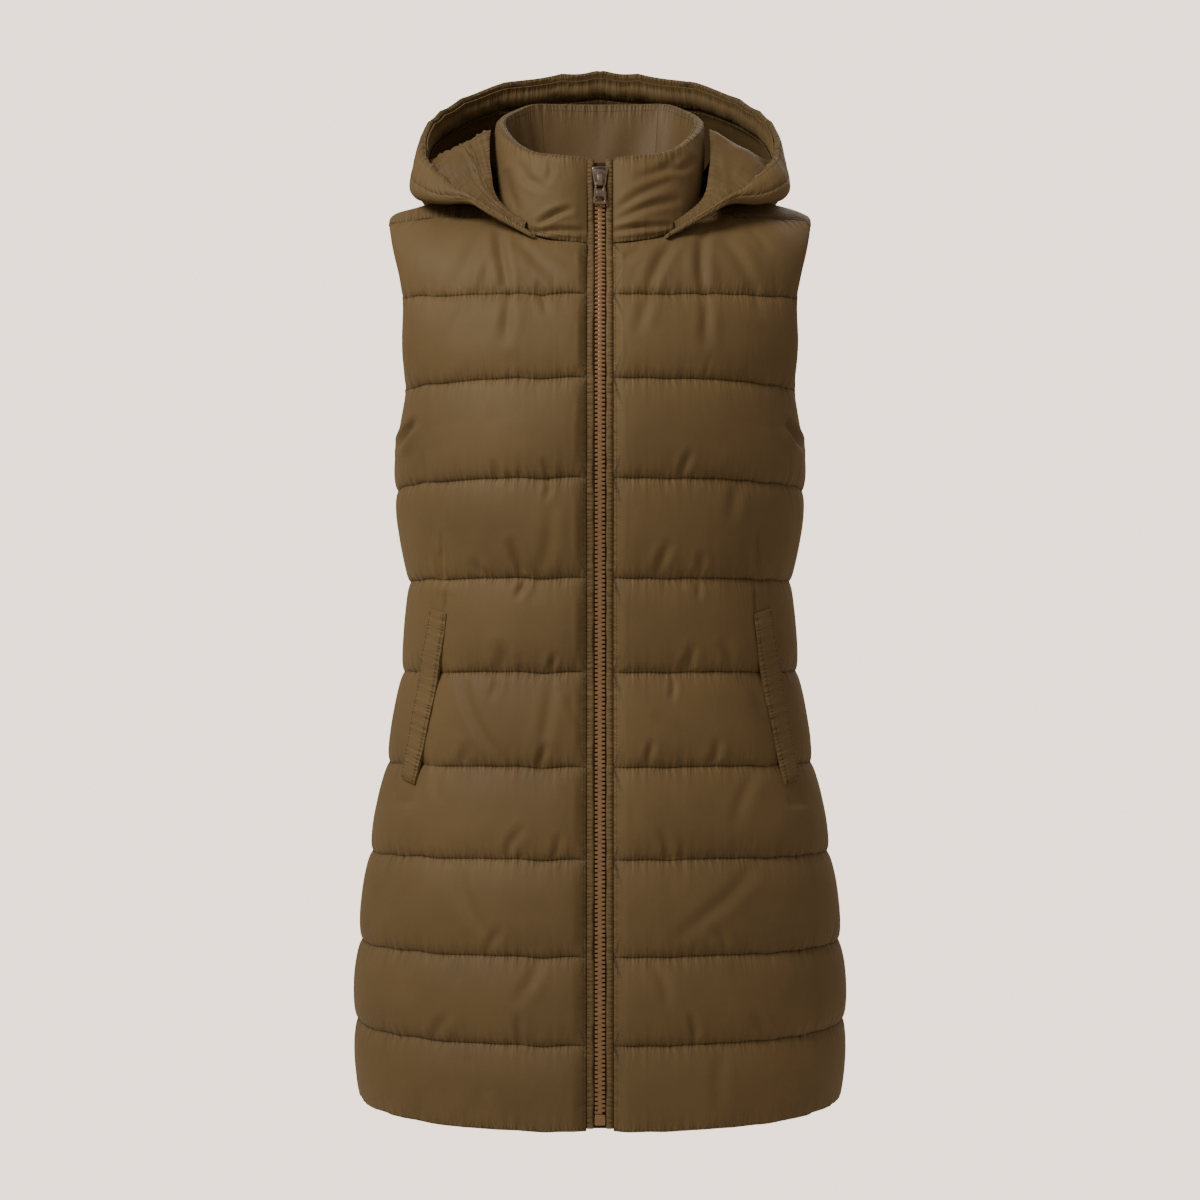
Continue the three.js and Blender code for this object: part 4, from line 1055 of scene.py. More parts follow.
def side_bulge(side):
    """How far a panel's side edge rounds out: a little at the side seam and more at the armhole."""
    return np.where(panel_lines(side) > SIDE_SEAM_TOP + 0.1, 2.2, 0.14)


def make_fronts():
    for name in ("front_left", "front_right"):
        padded_piece(name, BODY_WALL, (HEM_BULGE, side_bulge(-1), 0, 0.35))


def make_back():
    padded_piece("back", BODY_WALL, (HEM_BULGE, side_bulge(1), 0, side_bulge(1)))


def make_collar():
    padded_piece("collar", COLLAR_WALL, (0, 0, 2.4, 0))
    runs = []
    for name, first, last, mirror in (
        ("collar_facing_back", FACING_SEAM, 2 - FACING_SEAM, 1),
        ("collar_facing_left", 0, FACING_SEAM - SEAM_GAP / COLLAR_REACH, 1),
        ("collar_facing_right", 0, FACING_SEAM - SEAM_GAP / COLLAR_REACH, -1),
    ):
        columns = first + (last - first) * spaced(COLLAR_REACH * (last - first), 3.0, 2.0)
        rows = spaced(COLLAR_HEIGHT, 3.0, 2.0)
        sewn, facing = mirrored_surface(collar_surface, 1, columns, rows, mirror, True)
        course, height = run_lengths(sewn, 1), run_lengths(sewn, 0)
        seed = 30 + mirror + int(first > 0)
        soft = 0.5 + uneven(course + 0.25 * height, seed, (37, 71), (0.5, 0.7))
        folds = 1.6 * np.clip(soft, -0.4, 2) * np.sin(math.pi * rows[:, None]) ** 0.8
        below = height[-1:] - height
        folds += 0.9 * seam_puckers(course, height, seed) + 0.6 * seam_puckers(course, below, seed + 7)
        fade = edge_fade(course, 8) * edge_fade(course[:, -1:] - course, 8)
        off = -COLLAR_WALL - 0.4 - FACING_WALL - np.clip(folds, 0, 3.4) * fade
        inner = sewn + facing * off[..., None]
        outer = sewn + facing * (off + FACING_WALL)[..., None]
        thin_piece(name + "_cloth", name, outer, inner, "Lining satin", "lining",
                   seams=nearest_seam((course, below), (course, below - 5)))
        row = len(rows) - 4
        runs.append((inner[row, 1:-1], -facing[row, 1:-1]))
    dress(stitches("facing_stitching", runs, "Thread", 2.8, 2.1, 0.42), "lining")


def make_hood():
    for name in ("hood_side_left", "hood_side_right", "hood_crown"):
        wall = lambda columns: HOOD_WALL * hood_taper(own_station(columns))
        padded_piece(name, wall, (0, 0, 1.6, 0))


def make_hood_lining():
    outer, sewn, facing, columns, _ = filled("hood_lining")
    inner = outer - facing * (LINING_WALL * hood_taper(own_station(columns)))[None, :, None]
    width = run_lengths(sewn, 1)[:, -1].max() * MM
    thin_piece("hood_lining_cloth", "hood_lining", outer, inner, "Lining satin", "lining",
               SEAMS["hood_lining"])


CASING_ROWS = spaced(CASING_HEIGHT, 1.6, 1.0)
CASING_STITCH = 0.78  # where the casing is stitched, as a share of its height


def casing_grid():
    """The casing's two faces, the one on the shell and the one that shows, and the way the shell faces."""
    columns = CASING_START + (2 * LAST_STATION - 2 * CASING_START) * spaced(CASING_LENGTH, 2.2, 1.6)
    station, share = np.meshgrid(columns, CASING_ROWS)
    sewn, facing = mirrored_surface(casing_surface, LAST_STATION, columns, CASING_ROWS)
    course, height = run_lengths(sewn, 1), run_lengths(sewn, 0)
    taper = hood_taper(own_station(station))
    below = np.clip(share / CASING_STITCH, 0, 1)
    swell = 3.4 * np.sin(math.pi * below) ** 0.7
    dips = 4.4 * gathers(course + 0.6 * height, 77, 31.0) * np.clip(1.2 - below, 0, 1) ** 0.6
    dips += 2.2 * gathers(course - 0.3 * height, 78, 13.0) * np.exp(-(share / 0.4) ** 2)
    dips += 0.6 * np.exp(-(((share - CASING_STITCH) / 0.05) ** 2))
    off = -(HOOD_WALL + CASING_GAP + FACING_WALL) * taper - np.clip(swell - dips, -0.1, 4)
    seams = nearest_seam((course[:1], height), (course[:1], height - CASING_STITCH * height[-1:]))
    on_hood = sewn + facing * (off + FACING_WALL * taper)[..., None]
    return on_hood, sewn + facing * off[..., None], facing, seams


def make_casing():
    outer, inner, _, seams = casing_grid()
    size = (float(run_lengths(outer, 1)[:, -1].mean()) * MM, float(run_lengths(outer, 0)[-1].mean()) * MM)
    thin_piece("hood_casing_cloth", "hood_casing", outer, inner, "Outer nylon", "shell",
               seams=seams)


def welt_grid(mirror, columns, rows):
    """Places on the welt: columns run across it and rows up it, both from 0 to 1."""
    s, t = np.meshgrid(columns, rows)
    low = lambda index: WELT_LOW["inner"][index] + (WELT_LOW["outer"][index] - WELT_LOW["inner"][index]) * s
    top = lambda index: WELT_TOP["inner"][index] + (WELT_TOP["outer"][index] - WELT_TOP["inner"][index]) * s
    across, line = (low(i) + (top(i) - low(i)) * t for i in (0, 1))
    across = across + WELT_BOW * s * np.sin(math.pi * t)
    sewn, facing = body_surface(FRONT_ROWS, -1, across.ravel(), line.ravel())
    flip = (mirror, 1, 1)
    return (sewn * flip).reshape(*s.shape, 3), (facing * flip).reshape(*s.shape, 3)


def make_welts():
    runs = []
    for name, mirror, seed in (("pocket_welt_left", 1, 61), ("pocket_welt_right", -1, 71)):
        columns, rows = spaced(WELT_WIDTH, 1.6, 0.8, 4), spaced(WELT_LENGTH, 2.4, 1.0)
        sewn, facing = welt_grid(mirror, columns, rows)
        across, up = run_lengths(sewn, 1), run_lengths(sewn, 0)
        edge = np.minimum.reduce([across, across[:, -1:] - across, up, up[-1:] - up])
        crown = 1.3 * np.sin(np.clip(edge / 5.5, 0, 1) * math.pi / 2) - 1.0
        dips = 0.9 * gathers(up + 0.5 * across, seed, 21.0) * np.exp(-across / 6.0)
        dips += 0.6 * gathers(up - 0.4 * across, seed + 1, 33.0) * np.exp(-(across[:, -1:] - across) / 6.0)
        wave = 0.5 * uneven(up, seed + 2, (60, 130), (0.6, 0.6))
        lift = WELT_SEAT + WELT_THICK + crown - dips + wave
        outer = sewn + facing * lift[..., None]
        inner = sewn + facing * (WELT_SEAT - 1.2)
        thin_piece(name + "_cloth", name, outer, inner, "Outer nylon", "shell",
                   seams=nearest_seam((up, across - 2.2), (up, across[:, -1:] - across - 2.2)))
        keep = int(np.argmin(np.abs(columns - 0.1)))
        for column in (keep, len(columns) - 1 - keep):
            runs.append((outer[1:-1, column], facing[1:-1, column]))
        for row in (2, len(rows) - 3):
            runs.append((outer[row, 2:-2], facing[row, 2:-2]))
    dress(stitches("pocket_stitching", runs, "Thread", 2.6, 1.9, 0.4), "shell")


def make_zip_cloth():
    back = ZIP_FRONT - CHAIN_THICK
    z = HEM_Z + (COLLAR_TOP_Z - HEM_Z) * np.linspace(0, 1, 380)
    runs = []
    for side, mirror in (("left", 1), ("right", -1)):
        turn = np.linspace(0, 1, 15)
        width = PANEL_EDGE_X - SEAM_GAP - STRIP_INNER_X
        across = STRIP_INNER_X + width * turn
        round_it = STRIP_THICK * (0.30 + 0.70 * np.sqrt(np.maximum(0, 1 - np.abs(2 * turn - 1) ** 3.0)))
        level, x = np.meshgrid(z, across, indexing="ij")
        dips = 0.35 * gathers(level, 91 + mirror, 9.0) + 0.25 * gathers(level, 95 + mirror, 3.6)
        front = back + round_it[None, :] - dips * np.sin(math.pi * turn)[None, :]
        drift = np.clip(uneven(level, 97 + mirror, (34, 110), (0.35, 0.5)), -0.3, 0.8) * (1 - turn)
        outer = on_front(x + drift, level, front) * (mirror, 1, 1)
        inner = on_front(x, level, back) * (mirror, 1, 1)
        name = "zip_edge_" + side
        seams = nearest_seam((level, PANEL_EDGE_X - 1.7 - x))
        piece = closed_cloth(name + "_cloth", outer, inner, "Outer nylon", thin=4, seams=seams)
        dress(piece, "shell", name)
        x = 0.01 + (PANEL_EDGE_X - SEAM_GAP) * np.linspace(0, 1, 9)
        level, x = np.meshgrid(z[::3], x, indexing="ij")
        outer = on_front(x, level, back - SEAM_GAP) * (mirror, 1, 1)
        inner = on_front(x, level, back - SEAM_GAP - TAPE_THICK) * (mirror, 1, 1)
        name = "zip_tape_" + side
        thin_piece(name + "_cloth", name, outer, inner, "Zip tape", "tape")
        course = on_front(np.full_like(z, PANEL_EDGE_X - 1.7), z, back + STRIP_THICK * 0.86) * (mirror, 1, 1)
        runs.append((course, profile_normal(z)))
    dress(stitches("zip_stitching", runs, "Thread", 2.8, 2.0, 0.36), "shell")


# Zip teeth, slider and other hard pieces

def zip_frame(z):
    """Where the zip's face is at a height: its point, and across, up along it and out of it."""
    level = np.array([float(z)])
    outward = profile_normal(level)[0]
    across = np.array([1.0, 0.0, 0.0])
    return np.array([0, profile_y(level)[0], z]), across, np.cross(outward, across), outward


def set_on_zip(points, z, up=0.0, out=0.0):
    """Points drawn on the zip's face, x across, y up along it and z out of it, set at a height."""
    origin, across, along, outward = zip_frame(z)
    points = np.asarray(points, float)
    return origin + points[:, :1] * across + (points[:, 1:2] + up) * along + (points[:, 2:] + out) * outward


def rounded_plate(outline, depth, edge, holes=()):
    """Points and faces of a flat plate with rounded edges, from z 0 to depth."""
    curve = bpy.data.curves.new("plate", "CURVE")
    curve.dimensions, curve.fill_mode = "2D", "BOTH"
    curve.extrude, curve.bevel_depth = depth / 2 - edge, edge
    curve.bevel_resolution, curve.offset = 3, -edge
    for corners in (outline, *holes):
        spline = curve.splines.new("POLY")
        spline.points.add(len(corners) - 1)
        for point, (x, y) in zip(spline.points, corners):
            point.co = (x, y, 0, 1)
        spline.use_cyclic_u = True
    item = bpy.data.objects.new("plate", curve)
    bpy.context.scene.collection.objects.link(item)
    mesh = item.evaluated_get(bpy.context.evaluated_depsgraph_get()).to_mesh()
    points = np.array([tuple(vertex.co) for vertex in mesh.vertices]) + (0, 0, depth / 2)
    faces = [tuple(face.vertices) for face in mesh.polygons]
    bpy.data.objects.remove(item)
    return points, faces


def joined_object(name, parts, finish):
    """One object from several (points, faces)."""
    points, faces = [], []
    for own, ring in parts:
        start = sum(len(earlier) for earlier in points)
        points.append(own)
        faces += [tuple(start + i for i in face) for face in ring]
    piece = mesh_object(name, np.vstack(points), faces, finish)
    weld = piece.modifiers.new("Weld", "WELD")
    weld.merge_threshold = 2e-6
    smooth_by_angle(piece)
    return piece


def smooth_by_angle(piece, angle=0.7):
    """Applies the modifiers and keeps edges sharper than an angle crisp."""
    graph = bpy.context.evaluated_depsgraph_get()
    mesh = bpy.data.meshes.new_from_object(piece.evaluated_get(graph))
    piece.modifiers.clear()
    piece.data = mesh
    mesh.set_sharp_from_angle(angle=angle)


def tapered(top_width, low_width, top, low, corner, steps=4):
    """The outline of a plate that narrows, with rounded corners."""
    t, l = top_width / 2, low_width / 2
    outline = []
    for x, y, start in ((l, low, -90), (t, top, 0), (-t, top, 90), (-l, low, 180)):
        centre = (x - math.copysign(corner, x), y + (corner if y == low else -corner))
        for k in range(steps + 1):
            angle = math.radians(start + 90 * k / steps)
            outline.append((centre[0] + corner * math.cos(angle), centre[1] + corner * math.sin(angle)))
    return outline


def make_teeth():
    """Moulded teeth, locked: each side's stand half a pitch above the other's."""
    pitch = bpy.context.scene.vest_zip.pitch
    low, high = BOX_TOP_Z + 0.4, SLIDER_Z - SLIDER_HEIGHT / 2 - 0.6
    count = int((high - low) / (pitch / 2))
    # across, half height, out: a tooth's stations from its root on the tape to its head past the centre line
    stations = [(4.9, 0.70, 0.55), (4.4, 0.86, 0.95), (2.4, 0.90, 1.0), (1.2, 0.78, 0.98), (0.2, 0.78, 0.96),
                (-0.6, 0.97, 0.96), (-1.5, 0.95, 0.92), (-2.1, 0.62, 0.72)]
    ring = [(-1, 0.0), (-1, 0.62), (-0.62, 0.96), (0, 1.0), (0.62, 0.96), (1, 0.62), (1, 0.0)]
    back = ZIP_FRONT - CHAIN_THICK
    parts = []
    tooth = np.array([
        (across, turn * half * pitch * 0.43, back + rise * out * CHAIN_THICK)
        for across, half, out in stations for turn, rise in ring
    ])
    wide = len(ring)
    faces = [(s * wide + k, s * wide + k + 1, s * wide + wide + k + 1, s * wide + wide + k)
             for s in range(len(stations) - 1) for k in range(wide - 1)]
    faces += [(s * wide, s * wide + wide, s * wide + 2 * wide - 1, s * wide + wide - 1)
              for s in range(len(stations) - 1)]
    last = (len(stations) - 1) * wide
    faces += [tuple(range(wide - 1, -1, -1)), tuple(range(last, last + wide))]
    for number in range(count):
        side = 1 if number % 2 else -1
        z = low + (number + 0.5) * pitch / 2
        turned = [face[::-1] for face in faces] if side > 0 else faces
        parts.append((set_on_zip(tooth * (side, 1, 1), z), turned))
    piece = joined_object("zip_teeth", parts, "Teeth")
    dress(piece, "teeth", "zip_chain")


def make_box():
    """The retaining box at the foot of the zip, with a wider lip across its lower end."""
    back = ZIP_FRONT - CHAIN_THICK
    height = BOX_TOP_Z - SEAM_GAP - (HEM_Z + 3)
    middle = BOX_TOP_Z - SEAM_GAP - height / 2
    body = rounded_plate(tapered(9.4, 8.8, height / 2, -height / 2, 1.4), CHAIN_THICK - 0.2, 0.7)
    lip = rounded_plate(tapered(9.8, 9.8, -height / 2 + 7.5, -height / 2, 1.2), CHAIN_THICK, 0.6)
    parts = [(set_on_zip(points, middle, 0, back), faces) for points, faces in (body, lip)]
    piece = joined_object("zip_box_piece", parts, "Teeth")
    dress(piece, "metal", "zip_box")


SLIDER = {"top_width": 15, "low_width": 11, "core_width": 11, "plate_back": 1.1, "plate_front": 2.6}
BRIDGE = {"width": 4.6, "low": -9.2, "high": 4.0, "inside": 5.2, "outside": 6.6}
PULL = {"pivot": -6.5, "out": 3.9, "thick": 1.6, "top_width": 9.3, "low_width": 12.5, "height": 20.4,
        "bar_rise": 0.9, "eye_width": 5.6, "eye_low": 6.4, "window_width": 8, "window_high": 12.6,
        "window_low": 17}


def make_slider():
    half = SLIDER_HEIGHT / 2
    back = ZIP_FRONT - CHAIN_THICK
    core = rounded_plate(tapered(SLIDER["core_width"], SLIDER["core_width"] - 2, half, -half, 1.6),
                         SLIDER["plate_front"] - back, 0.5)
    front = rounded_plate(tapered(SLIDER["top_width"], SLIDER["low_width"], half, -half, 2.4),
                          SLIDER["plate_front"] - SLIDER["plate_back"], 0.6)
    raised = tapered(SLIDER["top_width"] - 5, SLIDER["low_width"] - 4, half - 2.6, -half + 5.4, 1.5)
    panel = rounded_plate(raised, 0.5, 0.2)
    low, high, outside, inside = (BRIDGE[key] for key in ("low", "high", "outside", "inside"))
    floor = SLIDER["plate_front"] - 0.5
    arch = [
        (low, floor), (low + 1.2, floor), (low + 1.2, inside - 0.5), (low + 1.8, inside),
        (high - 3.4, inside), (high - 2.2, 4.4), (high - 1.2, 3.2), (high - 1.2, floor), (high, floor),
        (high, 3.6), (high - 1.2, 5.2), (high - 3, outside), (low + 1.6, outside),
        (low + 0.6, outside - 0.4), (low, outside - 1.4),
    ]
    bridge, bridge_faces = rounded_plate(arch, BRIDGE["width"], 0.45)
    bridge = bridge[:, [2, 0, 1]] - (BRIDGE["width"] / 2, 0, 0)
    parts = [
        (set_on_zip(core[0], SLIDER_Z, 0, back), core[1]),
        (set_on_zip(front[0], SLIDER_Z, 0, SLIDER["plate_back"]), front[1]),
        (set_on_zip(panel[0], SLIDER_Z, 0, SLIDER["plate_front"] - 0.15), panel[1]),
        (set_on_zip(bridge, SLIDER_Z), bridge_faces),
    ]
    dress(joined_object("zip_slider_piece", parts, "Antique brass"), "metal", "zip_slider")


def make_pull():
    """The pull hangs from a bar under the bridge, with an eye for the bridge and a window near its foot."""
    eye, pane = PULL["eye_width"] / 2, PULL["window_width"] / 2
    rise, top = PULL["bar_rise"], PULL["bar_rise"]

    def hole(half, high, low, corner):
        return [(x, y - (high + low) / 2) for x, y in
                tapered(2 * half, 2 * half, (low - high) / 2, -(low - high) / 2, corner)][::-1]

    tab = rounded_plate(
        tapered(PULL["top_width"], PULL["low_width"], top, top - PULL["height"], 1.8), PULL["thick"], 0.45,
        [hole(eye, rise, PULL["eye_low"], 1.4), hole(pane, PULL["window_high"], PULL["window_low"], 1.0)],
    )
    groove = rounded_plate(tapered(6.4, 7.4, -7.6, -11.4, 0.8), 0.5, 0.22)
    parts = [
        (set_on_zip(tab[0], SLIDER_Z, PULL["pivot"], PULL["out"] - PULL["thick"] / 2), tab[1]),
        (set_on_zip(groove[0], SLIDER_Z, PULL["pivot"], PULL["out"] + PULL["thick"] / 2 - 0.2), groove[1]),
    ]
    dress(joined_object("zip_pull_piece", parts, "Antique brass"), "metal", "zip_pull", body="pull_tab")


def make_snap():
    """The small snap on the near face of the hood's right side."""
    outer, _, facing, _, _ = filled("hood_side_right")
    away = np.hypot(outer[..., 0] - SNAP_PLACE[0], outer[..., 2] - SNAP_PLACE[1])
    away = np.where(facing[..., 1] < 0, away, FAR)
    row, column = np.unravel_index(away.argmin(), away.shape)
    centre, out = outer[row, column], facing[row, column]
    side = unit(np.cross(out, (0, 0, 1)))
    up = np.cross(side, out)
    profile = [(0.0, 1.25), (0.9, 1.2), (1.7, 1.0), (2.3, 0.6), (2.6, 0.1), (2.7, -0.4)]
    turns = 24
    points = [centre + out * profile[0][1]]
    for radius, height in profile[1:]:
        for k in range(turns):
            angle = 2 * math.pi * k / turns
            points.append(centre + radius * (math.cos(angle) * side + math.sin(angle) * up) + out * height)
    points.append(centre + out * profile[-1][1])
    faces = [(0, 1 + k, 1 + (k + 1) % turns) for k in range(turns)]
    for level in range(len(profile) - 2):
        base = 1 + level * turns
        faces += [(base + k, base + turns + k, base + turns + (k + 1) % turns, base + (k + 1) % turns)
                  for k in range(turns)]
    base, foot = 1 + (len(profile) - 2) * turns, len(points) - 1
    faces += [(foot, base + (k + 1) % turns, base + k) for k in range(turns)]
    dress(mesh_object("snap", points, faces, "Snap lacquer"), "metal")


# Stitching

def row_run(name, row_value):
    outer, _, facing, _, rows = filled(name)
    row = int(np.abs(rows - row_value).argmin())
    return outer[row], facing[row]


def read_rows(values, rows, at):
    """One point of each column of a grid, read at that column's own row."""
    i = np.clip(np.searchsorted(rows, at) - 1, 0, len(rows) - 2)
    t = ((at - rows[i]) / (rows[i + 1] - rows[i]))[:, None]
    place = np.arange(len(at))
    return values[i, place] * (1 - t) + values[i + 1, place] * t


def make_quilting():
    thread = bpy.context.scene.vest_thread
    for name, lines in (
        ("front_left", range(1, 10)), ("front_right", range(1, 10)), ("back", [*range(1, 10), 9.5]),
    ):
        runs = [row_run(name, line) for line in lines]
        piece = stitches("quilting_" + name, runs, "Thread", thread.pitch, thread.length, thread.thickness)
        dress(piece, "shell")


def make_topstitching():
    runs = []
    for name in ("front_left", "front_right"):
        outer, _, facing, _, rows = filled(name)
        row = len(rows) - 3
        seam = np.abs(outer[row, :, 0]) > 100
        runs.append((outer[row][seam], facing[row][seam]))
        runs.append((outer[:, 2], facing[:, 2]))
    for name in ("hood_side_left", "hood_side_right", "hood_crown"):
        outer, _, facing, columns, rows = filled(name)
        place = own_station(columns)
        kept = place > 2.2
        for at in (casing_edge(place), np.full(len(columns), 0.972)):
            runs.append((read_rows(outer, rows, at)[kept], read_rows(facing, rows, at)[kept]))
    outer, _, facing, columns, rows = filled("collar")
    row = int(np.abs(rows - 0.045).argmin())
    runs.append((outer[row, 3:-3], facing[row, 3:-3]))
    _, outer, facing, _ = casing_grid()
    row = int(np.abs(CASING_ROWS - CASING_STITCH).argmin())
    runs.append((outer[row], -facing[row]))
    dress(stitches("topstitching", runs, "Thread", 3.0, 2.3, 0.42), "shell")


# Finishes

def group(name, inputs, outputs):
    """A new node group that takes numbers, each with its default, and gives numbers."""
    tree = bpy.data.node_groups.new(name, "ShaderNodeTree")
    for label, value in inputs.items():
        tree.interface.new_socket(label, in_out="INPUT", socket_type="NodeSocketFloat").default_value = value
    for label in outputs:
        tree.interface.new_socket(label, in_out="OUTPUT", socket_type="NodeSocketFloat")
    return tree, tree.nodes.new("NodeGroupInput"), tree.nodes.new("NodeGroupOutput")


def node(tree, kind, links=(), **values):
    """A new node: values set its own settings or, with a leading input name in links, join its inputs."""
    made = tree.nodes.new("ShaderNode" + kind)
    for key, value in values.items():
        setattr(made, key, value)
    for key, source in dict(links).items():
        if isinstance(source, bpy.types.NodeSocket):
            tree.links.new(source, made.inputs[key])
        else:
            made.inputs[key].default_value = source
    return made


def maths(tree, operation, a, b=0.0, clamp=False):
    return node(tree, "Math", {0: a, 1: b}, operation=operation, use_clamp=clamp).outputs[0]


def weave_group():
    """A plain weave: warp and weft threads that pass over and under each other, on the flat cloth. Its second
    output is painted light and shade, lighter where a thread passes over, with the slubs' own tone added.
    """
    tree, into, out = group("Plain weave", {"Threads": 3200.0, "Slub": 0.3}, ("Height", "Shade"))
    flat = node(tree, "UVMap", uv_map="Cloth").outputs["UV"]
    parts = node(tree, "SeparateXYZ", {0: flat})
    threads = {axis: maths(tree, "MULTIPLY", parts.outputs[axis], into.outputs["Threads"]) for axis in "XY"}
    wave = {axis: maths(tree, "SINE", maths(tree, "MULTIPLY", value, math.pi))
            for axis, value in threads.items()}
    over = maths(tree, "MULTIPLY", wave["X"], wave["Y"])
    drawn_out = node(tree, "VectorMath", {0: flat, 1: (60, 2400, 1)}, operation="MULTIPLY").outputs[0]
    slubs = node(tree, "TexNoise", {"Vector": drawn_out, "Scale": 1.0, "Detail": 2.0}, noise_dimensions="2D")
    height = maths(tree, "MULTIPLY_ADD", over, 0.5)
    height.node.inputs[2].default_value = 0.5
    slub = maths(tree, "MULTIPLY", slubs.outputs["Fac"], into.outputs["Slub"])
    tree.links.new(maths(tree, "ADD", height, slub), out.inputs["Height"])
    # painted light and shade of the threads' crossings, plus the slubs' own tone
    tree.links.new(maths(tree, "ADD", maths(tree, "MULTIPLY", height, 0.6), slub), out.inputs["Shade"])
    return tree


def mottling_group():
    """Slow cloudy changes of shade and gloss, as dyed cloth has, and a fine speckle."""
    tree, into, out = group("Mottling", {"Size": 12.0, "Contrast": 1.0}, ("Cloud", "Speckle"))
    place = node(tree, "TexCoord").outputs["Object"]
    size = into.outputs["Size"]
    cloud = node(tree, "TexNoise", {"Vector": place, "Scale": size, "Detail": 4.0, "Roughness": 0.55})
    spread = maths(tree, "SUBTRACT", cloud.outputs["Fac"], 0.5)
    lifted = maths(tree, "MULTIPLY", spread, into.outputs["Contrast"])
    tree.links.new(maths(tree, "ADD", lifted, 0.5, clamp=True), out.inputs["Cloud"])
    speckle = node(tree, "TexNoise", {"Vector": place, "Scale": 900.0, "Detail": 3.0, "Roughness": 0.6})
    tree.links.new(speckle.outputs["Fac"], out.inputs["Speckle"])
    return tree


def crease_group():
    """Faint creases that washing and folding leave in thin cloth: ridges along a warped noise."""
    tree, into, out = group("Fine creases", {"Size": 40.0, "Warp": 0.02}, ("Height",))
    place = node(tree, "TexCoord").outputs["Object"]
    drift = node(tree, "TexNoise", {"Vector": place, "Scale": 9.0, "Detail": 2.0})
    shift = node(tree, "VectorMath", {0: drift.outputs["Color"], 1: into.outputs["Warp"]},
                 operation="MULTIPLY").outputs[0]
    moved = node(tree, "VectorMath", {0: place, 1: shift}, operation="ADD").outputs[0]
    total = None
    for scale, share in ((1.0, 0.65), (2.3, 0.35)):
        size = maths(tree, "MULTIPLY", into.outputs["Size"], scale)
        noise = node(tree, "TexNoise", {"Vector": moved, "Scale": size, "Detail": 3.0, "Roughness": 0.5})
        ridge = maths(tree, "ABSOLUTE", maths(tree, "SUBTRACT", noise.outputs["Fac"], 0.5))
        ridge = maths(tree, "MULTIPLY", maths(tree, "MINIMUM", ridge, 0.12), share / 0.12)
        total = ridge if total is None else maths(tree, "ADD", total, ridge)
    tree.links.new(total, out.inputs["Height"])
    return tree


def seam_group():
    """Cloth drawn up beside stitching: short uneven ridges that run out from it, and the stitched groove. Its
    second output is painted light and shade for the colour: lighter on the ridges, darker in their troughs
    and in the groove.
    """
    tree, into, out = group("Seam gathers", {"Spacing": 0.0037, "Reach": 0.0032}, ("Height", "Shade"))
    seams = node(tree, "UVMap", uv_map="Seams").outputs["UV"]
    parts = node(tree, "SeparateXYZ", {0: seams})
    away = parts.outputs["Y"]

    def noise(across, along):
        place = node(tree, "VectorMath", {0: seams, 1: (across, along, 1)}, operation="MULTIPLY").outputs[0]
        return node(tree, "TexNoise", {"Vector": place, "Scale": 1.0, "Detail": 1.0},
                    noise_dimensions="2D").outputs["Fac"]

    def near(reach):
        return maths(tree, "EXPONENT", maths(tree, "DIVIDE", maths(tree, "MULTIPLY", away, -1.0), reach))

    drift = maths(tree, "MULTIPLY", noise(70, 50), 3.0)
    turn = maths(tree, "ADD", maths(tree, "DIVIDE", parts.outputs["X"], into.outputs["Spacing"]), drift)
    ridge = maths(tree, "SINE", maths(tree, "MULTIPLY", turn, 2 * math.pi))
    strong = maths(tree, "MULTIPLY", noise(150, 30), 1.3)
    fine = maths(tree, "MULTIPLY", maths(tree, "MULTIPLY", ridge, strong), near(into.outputs["Reach"]))
    streaks = maths(tree, "MULTIPLY", maths(tree, "SUBTRACT", noise(190, 26), 0.5), near(0.009))
    groove = near(0.0009)
    height = maths(tree, "ADD", maths(tree, "MULTIPLY", fine, 0.32), maths(tree, "MULTIPLY", streaks, 2.4))
    height = maths(tree, "SUBTRACT", height, maths(tree, "MULTIPLY", groove, 0.3))
    tree.links.new(height, out.inputs["Height"])
    # painted light and shade: the ridges and streaks lighten and darken the colour, and the groove darkens it
    shade = maths(tree, "ADD", maths(tree, "MULTIPLY", fine, 0.34), maths(tree, "MULTIPLY", streaks, 0.7))
    shade = maths(tree, "SUBTRACT", shade, maths(tree, "MULTIPLY", groove, 0.25))
    tree.links.new(shade, out.inputs["Shade"])
    return tree


GROUPS = {"Plain weave": weave_group, "Mottling": mottling_group, "Fine creases": crease_group,
          "Seam gathers": seam_group}


def placed(tree, name, **values):
    """The outputs of a node group placed in a material with its own values."""
    made = tree.nodes.new("ShaderNodeGroup")
    made.node_tree = bpy.data.node_groups.get(name) or GROUPS[name]()
    for key, value in values.items():
        made.inputs[key].default_value = value
    return made.outputs


def blank(name, **settings):
    """A new material and its shader, with constant values on the shader's own sockets."""
    material = bpy.data.materials.new(name)
    material.use_nodes = True
    shader = material.node_tree.nodes["Principled BSDF"]
    for key, value in settings.items():
        shader.inputs[key.replace("_", " ")].default_value = value
    return material, material.node_tree


def finished(material, **sources):
    """The material with values joined to its shader's sockets, each named with _ for a space."""
    tree = material.node_tree
    for key, source in sources.items():
        tree.links.new(source, tree.nodes["Principled BSDF"].inputs[key.replace("_", " ")])
    return material


def between(tree, share, low, high):
    """A value from low to high as share goes from 0 to 1."""
    return node(tree, "MapRange", {"Value": share, "To Min": low, "To Max": high}).outputs["Result"]


def shaded(tree, share, colour, dark, light):
    """A colour whose strength goes from dark to light times its own as share goes from 0 to 1."""
    ramp = node(tree, "Mix", {"Factor": share}, data_type="RGBA")
    for key, amount in (("A", dark), ("B", light)):
        ramp.inputs[key].default_value = (*(min(1, channel * amount) for channel in colour), 1)
    return ramp.outputs["Result"]


